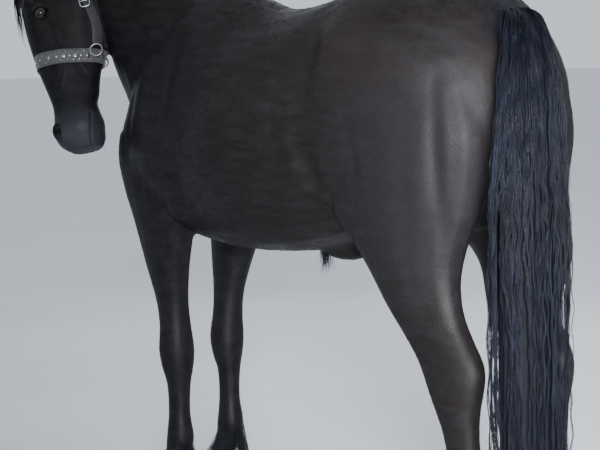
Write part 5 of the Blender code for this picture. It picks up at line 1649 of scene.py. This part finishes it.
def make_coat(place):
    """The skin's short coat: fine hair streaks that run with the body, and pores on the muzzle."""
    look = Look("black_coat")
    shade, muzzle = coat_colour(look, place)
    legs = look.ramp(look.axis("Z"), 0.85, 1.05, 1.0, 0.0)
    along = look.noise(420.0, 4.0, 0.6, (0.09, 1.0, 0.75), 0.5, (0.0, 0.30, 0.0))
    hair = look.blend(legs, along, look.noise(420.0, 4.0, 0.6, (1.0, 1.0, 0.09), 0.5))
    tufts = look.noise(95.0, 3.0, 0.5, (0.22, 1.0, 0.55), 0.3, (0.0, 0.30, 0.0))
    pores = look.add("ShaderNodeTexVoronoi", Scale=520.0, Vector=look.place).outputs["Distance"]
    relief = look.maths("ADD", look.maths("MULTIPLY", hair, 0.55), look.maths("MULTIPLY", tufts, 0.45))
    grain = look.blend(muzzle, relief, look.maths("MULTIPLY", pores, 0.5))
    gloss = look.ramp(look.noise(6.0, 3.0), 0.30, 0.70, 0.40, 0.54)
    rough = look.maths("ADD", gloss, look.maths("MULTIPLY", hair, 0.06))
    return look.finish(shade, rough, (grain, 0.55, 0.0022), Specular_IOR_Level=0.10)


def make_tufts(place):
    """The tufts of the coat, as dark as the skin under them."""
    look = Look("coat_tufts")
    rough = look.ramp(look.noise(60.0, 2.0), 0.3, 0.7, 0.46, 0.62)
    relief = (look.noise(900.0, 2.0), 0.25, 0.0006)
    return look.finish(coat_colour(look, place)[0], rough, relief, Specular_IOR_Level=0.10)


def make_hair():
    """Long hair: blue-black, with painted highlight streaks of a lighter blue-grey."""
    look = Look("black_hair")
    streak = look.noise(60.0, 4.0, 0.6, (1.0, 1.0, 0.05), 0.3)
    band = look.ramp(look.noise(9.0, 3.0, 0.5, (1.0, 1.0, 0.5)), 0.35, 0.70)
    dark = look.mix(band, (0.0030, 0.0034, 0.0058, 1), (0.0048, 0.0058, 0.0098, 1))
    # Painted highlight: lighter blue-grey streaks along the strands.
    base = look.mix(look.ramp(streak, 0.45, 0.78, 0.0, 0.8), dark, (0.0105, 0.0132, 0.0225, 1))
    relief = (look.noise(700.0, 3.0, 0.6, (1.0, 1.0, 0.06)), 0.35, 0.0008)
    return look.finish(base, look.ramp(streak, 0.3, 0.7, 0.38, 0.52), relief, Specular_IOR_Level=0.10)


def make_core():
    """The dull dark hair deep inside the tail."""
    look = Look("inner_hair")
    streak = look.noise(60.0, 4.0, 0.6, (1.0, 1.0, 0.05), 0.3)
    shade = look.mix(look.ramp(streak, 0.35, 0.70), (0.0030, 0.0034, 0.0050, 1), (0.0070, 0.0078, 0.0120, 1))
    relief = (look.noise(220.0, 3.0, 0.6, (1.0, 1.0, 0.06)), 0.8, 0.0040)
    return look.finish(shade, look.ramp(streak, 0.3, 0.7, 0.60, 0.80), relief, Specular_IOR_Level=0.08)


def make_horn():
    """Dark hoof horn with rings and fine upright lines, dusty near the floor."""
    look = Look("hoof_horn")
    rings = look.noise(70.0, 4.0, 0.55, (0.12, 0.12, 1.0), 0.4)
    lines = look.noise(330.0, 3.0, 0.5, (1.0, 1.0, 0.05))
    low = look.ramp(look.axis("Z"), 0.0, 0.035, 1.0, 0.0)
    dust = look.maths("MULTIPLY", low, look.ramp(look.noise(45.0, 5.0), 0.35, 0.65))
    base = look.mix(look.ramp(rings, 0.3, 0.7), (0.0150, 0.0135, 0.0130, 1), (0.0360, 0.0330, 0.0310, 1))
    base = look.mix(dust, base, (0.080, 0.072, 0.062, 1))
    relief = look.maths("ADD", look.maths("MULTIPLY", rings, 0.7), look.maths("MULTIPLY", lines, 0.3))
    return look.finish(base, look.ramp(lines, 0.3, 0.7, 0.42, 0.62), (relief, 0.45, 0.0016))


def make_eye(place):
    """A dark brown wet eye with a round pupil."""
    look = Look("eye_gloss")
    shade = (0.0080, 0.0045, 0.0032, 1)
    for side in (1, -1):
        front = place @ Vector((EYE_PLACE[0], (EYE_PLACE[1] + EYE_RADIUS) * side, EYE_PLACE[2]))
        shade = look.mix(look.blob(front, 0.0105, 0.0045), shade, (0.0130, 0.0062, 0.0034, 1))
        shade = look.mix(look.blob(front, 0.0045, 0.0040), shade, (0.0015, 0.0012, 0.0015, 1))
    flecks = look.ramp(look.noise(420.0, 4.0), 0.55, 0.8, 0.0, 0.3)
    shade = look.mix(flecks, shade, (0.0200, 0.0100, 0.0055, 1))
    return look.finish(shade, look.ramp(look.noise(60.0), 0.2, 0.8, 0.05, 0.11),
                       Coat_Weight=0.35, Coat_Roughness=0.03, Specular_IOR_Level=0.35)


def make_strap(name, dark, light, dull):
    """Woven webbing with a fine diagonal weave and worn places."""
    look = Look(name)
    waves = [look.add("ShaderNodeTexWave", Vector=look.place, wave_type="BANDS", bands_direction=way,
                      Scale=scale, Distortion=bend).outputs["Fac"] for way, scale, bend in WEAVE]
    both = look.maths("MULTIPLY", *waves)
    worn = look.noise(38.0, 5.0)
    base = look.mix(look.ramp(both, 0.1, 0.8), dark, light)
    base = look.mix(look.ramp(worn, 0.35, 0.70, 0.0, 0.6), base, dull)
    return look.finish(base, look.ramp(worn, 0.3, 0.7, 0.45, 0.65), (both, 0.5, 0.0012), Sheen_Weight=0.15)


def make_metal():
    """Grey nickel with fine scratches and dull spots."""
    look = Look("bright_metal")
    scratch = look.noise(600.0, 3.0, 0.6, (1.0, 0.15, 1.0))
    dull = look.noise(90.0, 4.0)
    base = look.mix(look.ramp(dull, 0.45, 0.75), (0.36, 0.36, 0.37, 1), (0.17, 0.17, 0.17, 1))
    return look.finish(base, look.ramp(dull, 0.3, 0.7, 0.20, 0.38), (scratch, 0.12, 0.0004), Metallic=1.0)


def make_floor():
    """A plain pale floor."""
    look = Look("pale_floor")
    base = look.mix(look.ramp(look.noise(0.8, 4.0), 0.3, 0.7), (0.70, 0.725, 0.76, 1), (0.74, 0.765, 0.80, 1))
    rough = look.ramp(look.noise(14.0, 5.0), 0.3, 0.7, 0.70, 0.85)
    return look.finish(base, rough, (look.noise(55.0, 5.0), 0.10, 0.003))


def add_light(name, spot, target, size, spread, power, tint):
    """A soft square lamp that faces a place, with its light kept within a spread."""
    lamp = bpy.data.lights.new(name, "AREA")
    lamp.size = size
    lamp.spread = math.radians(spread)
    lamp.energy = power
    lamp.color = tint
    made = bpy.data.objects.new(name, lamp)
    made.location = Vector(spot) + SHIFT
    way = Vector(target) + SHIFT - made.location
    made.rotation_euler = way.to_track_quat("-Z", "Y").to_euler()
    bpy.context.scene.collection.objects.link(made)


def light_stage():
    """The floor, the pale surroundings and the lamps."""
    shape = bmesh.new()
    bmesh.ops.create_circle(shape, cap_ends=True, segments=96, radius=FLOOR_RADIUS)
    mesh = bpy.data.meshes.new("floor")
    shape.to_mesh(mesh)
    shape.free()
    add_object("floor", mesh, make_floor())
    world = bpy.data.worlds.new("studio")
    world.use_nodes = True
    sky = world.node_tree.nodes["Background"]
    sky.inputs["Color"].default_value = SKY_COLOUR
    sky.inputs["Strength"].default_value = SKY_STRENGTH
    bpy.context.scene.world = world
    for settings in LAMPS:
        add_light(*settings)


def add_camera():
    """The camera, where the photograph was taken from."""
    yaw, pitch, roll = CAMERA_TURN
    forward = Vector((math.cos(yaw) * math.cos(pitch), math.sin(yaw) * math.cos(pitch), math.sin(pitch)))
    right = Vector((math.sin(yaw), -math.cos(yaw), 0.0))
    up = right.cross(forward)
    across = right * math.cos(roll) + up * math.sin(roll)
    rise = up * math.cos(roll) - right * math.sin(roll)
    lens = bpy.data.cameras.new("camera")
    lens.lens = CAMERA_LENS
    lens.sensor_width = CAMERA_SENSOR
    lens.sensor_fit = "HORIZONTAL"
    made = bpy.data.objects.new("camera", lens)
    spin = Matrix((across, rise, -forward)).transposed()
    made.matrix_world = Matrix.Translation(Vector(CAMERA_PLACE) + SHIFT) @ spin.to_4x4()
    bpy.context.scene.collection.objects.link(made)
    bpy.context.scene.camera = made


def main():
    """Dress the frame."""
    skin, tree, turn = build_skin()
    place = turn.head()
    hair, tufts, horn = make_hair(), make_tufts(place), make_horn()
    straps = {name: make_strap(*row) for name, row in STRAPS.items()}
    build_halter(place, skin, {"metal": make_metal(), **straps})
    ears = add_ears(skin, turn, tree)
    skin.data.materials.append(make_coat(place))
    build_coat(skin, turn, place, tufts)
    ship(skin, "coat", *FLESH)
    eye_look = make_eye(place)
    for side, name in ((1, "eye_left"), (-1, "eye_right")):
        ship(build_eye(name + "_ball", place, side, eye_look), "eye", name)
    for leg in STANCE:
        ship(build_hoof(leg, horn), "hoof", "hoof_" + leg)
        build_feathers(leg, hair)
    build_tail(hair)
    build_core(make_core())
    build_mane(turn, tree, hair)
    build_forelock(place, tree, hair)
    bristles("face_bristles", face_bristles(place, tree), hair)
    bristles("ear_hair", ear_hair(ears), hair)
    bristles("belly_tuft", belly_tuft(), hair)
    light_stage()
    add_camera()


main()
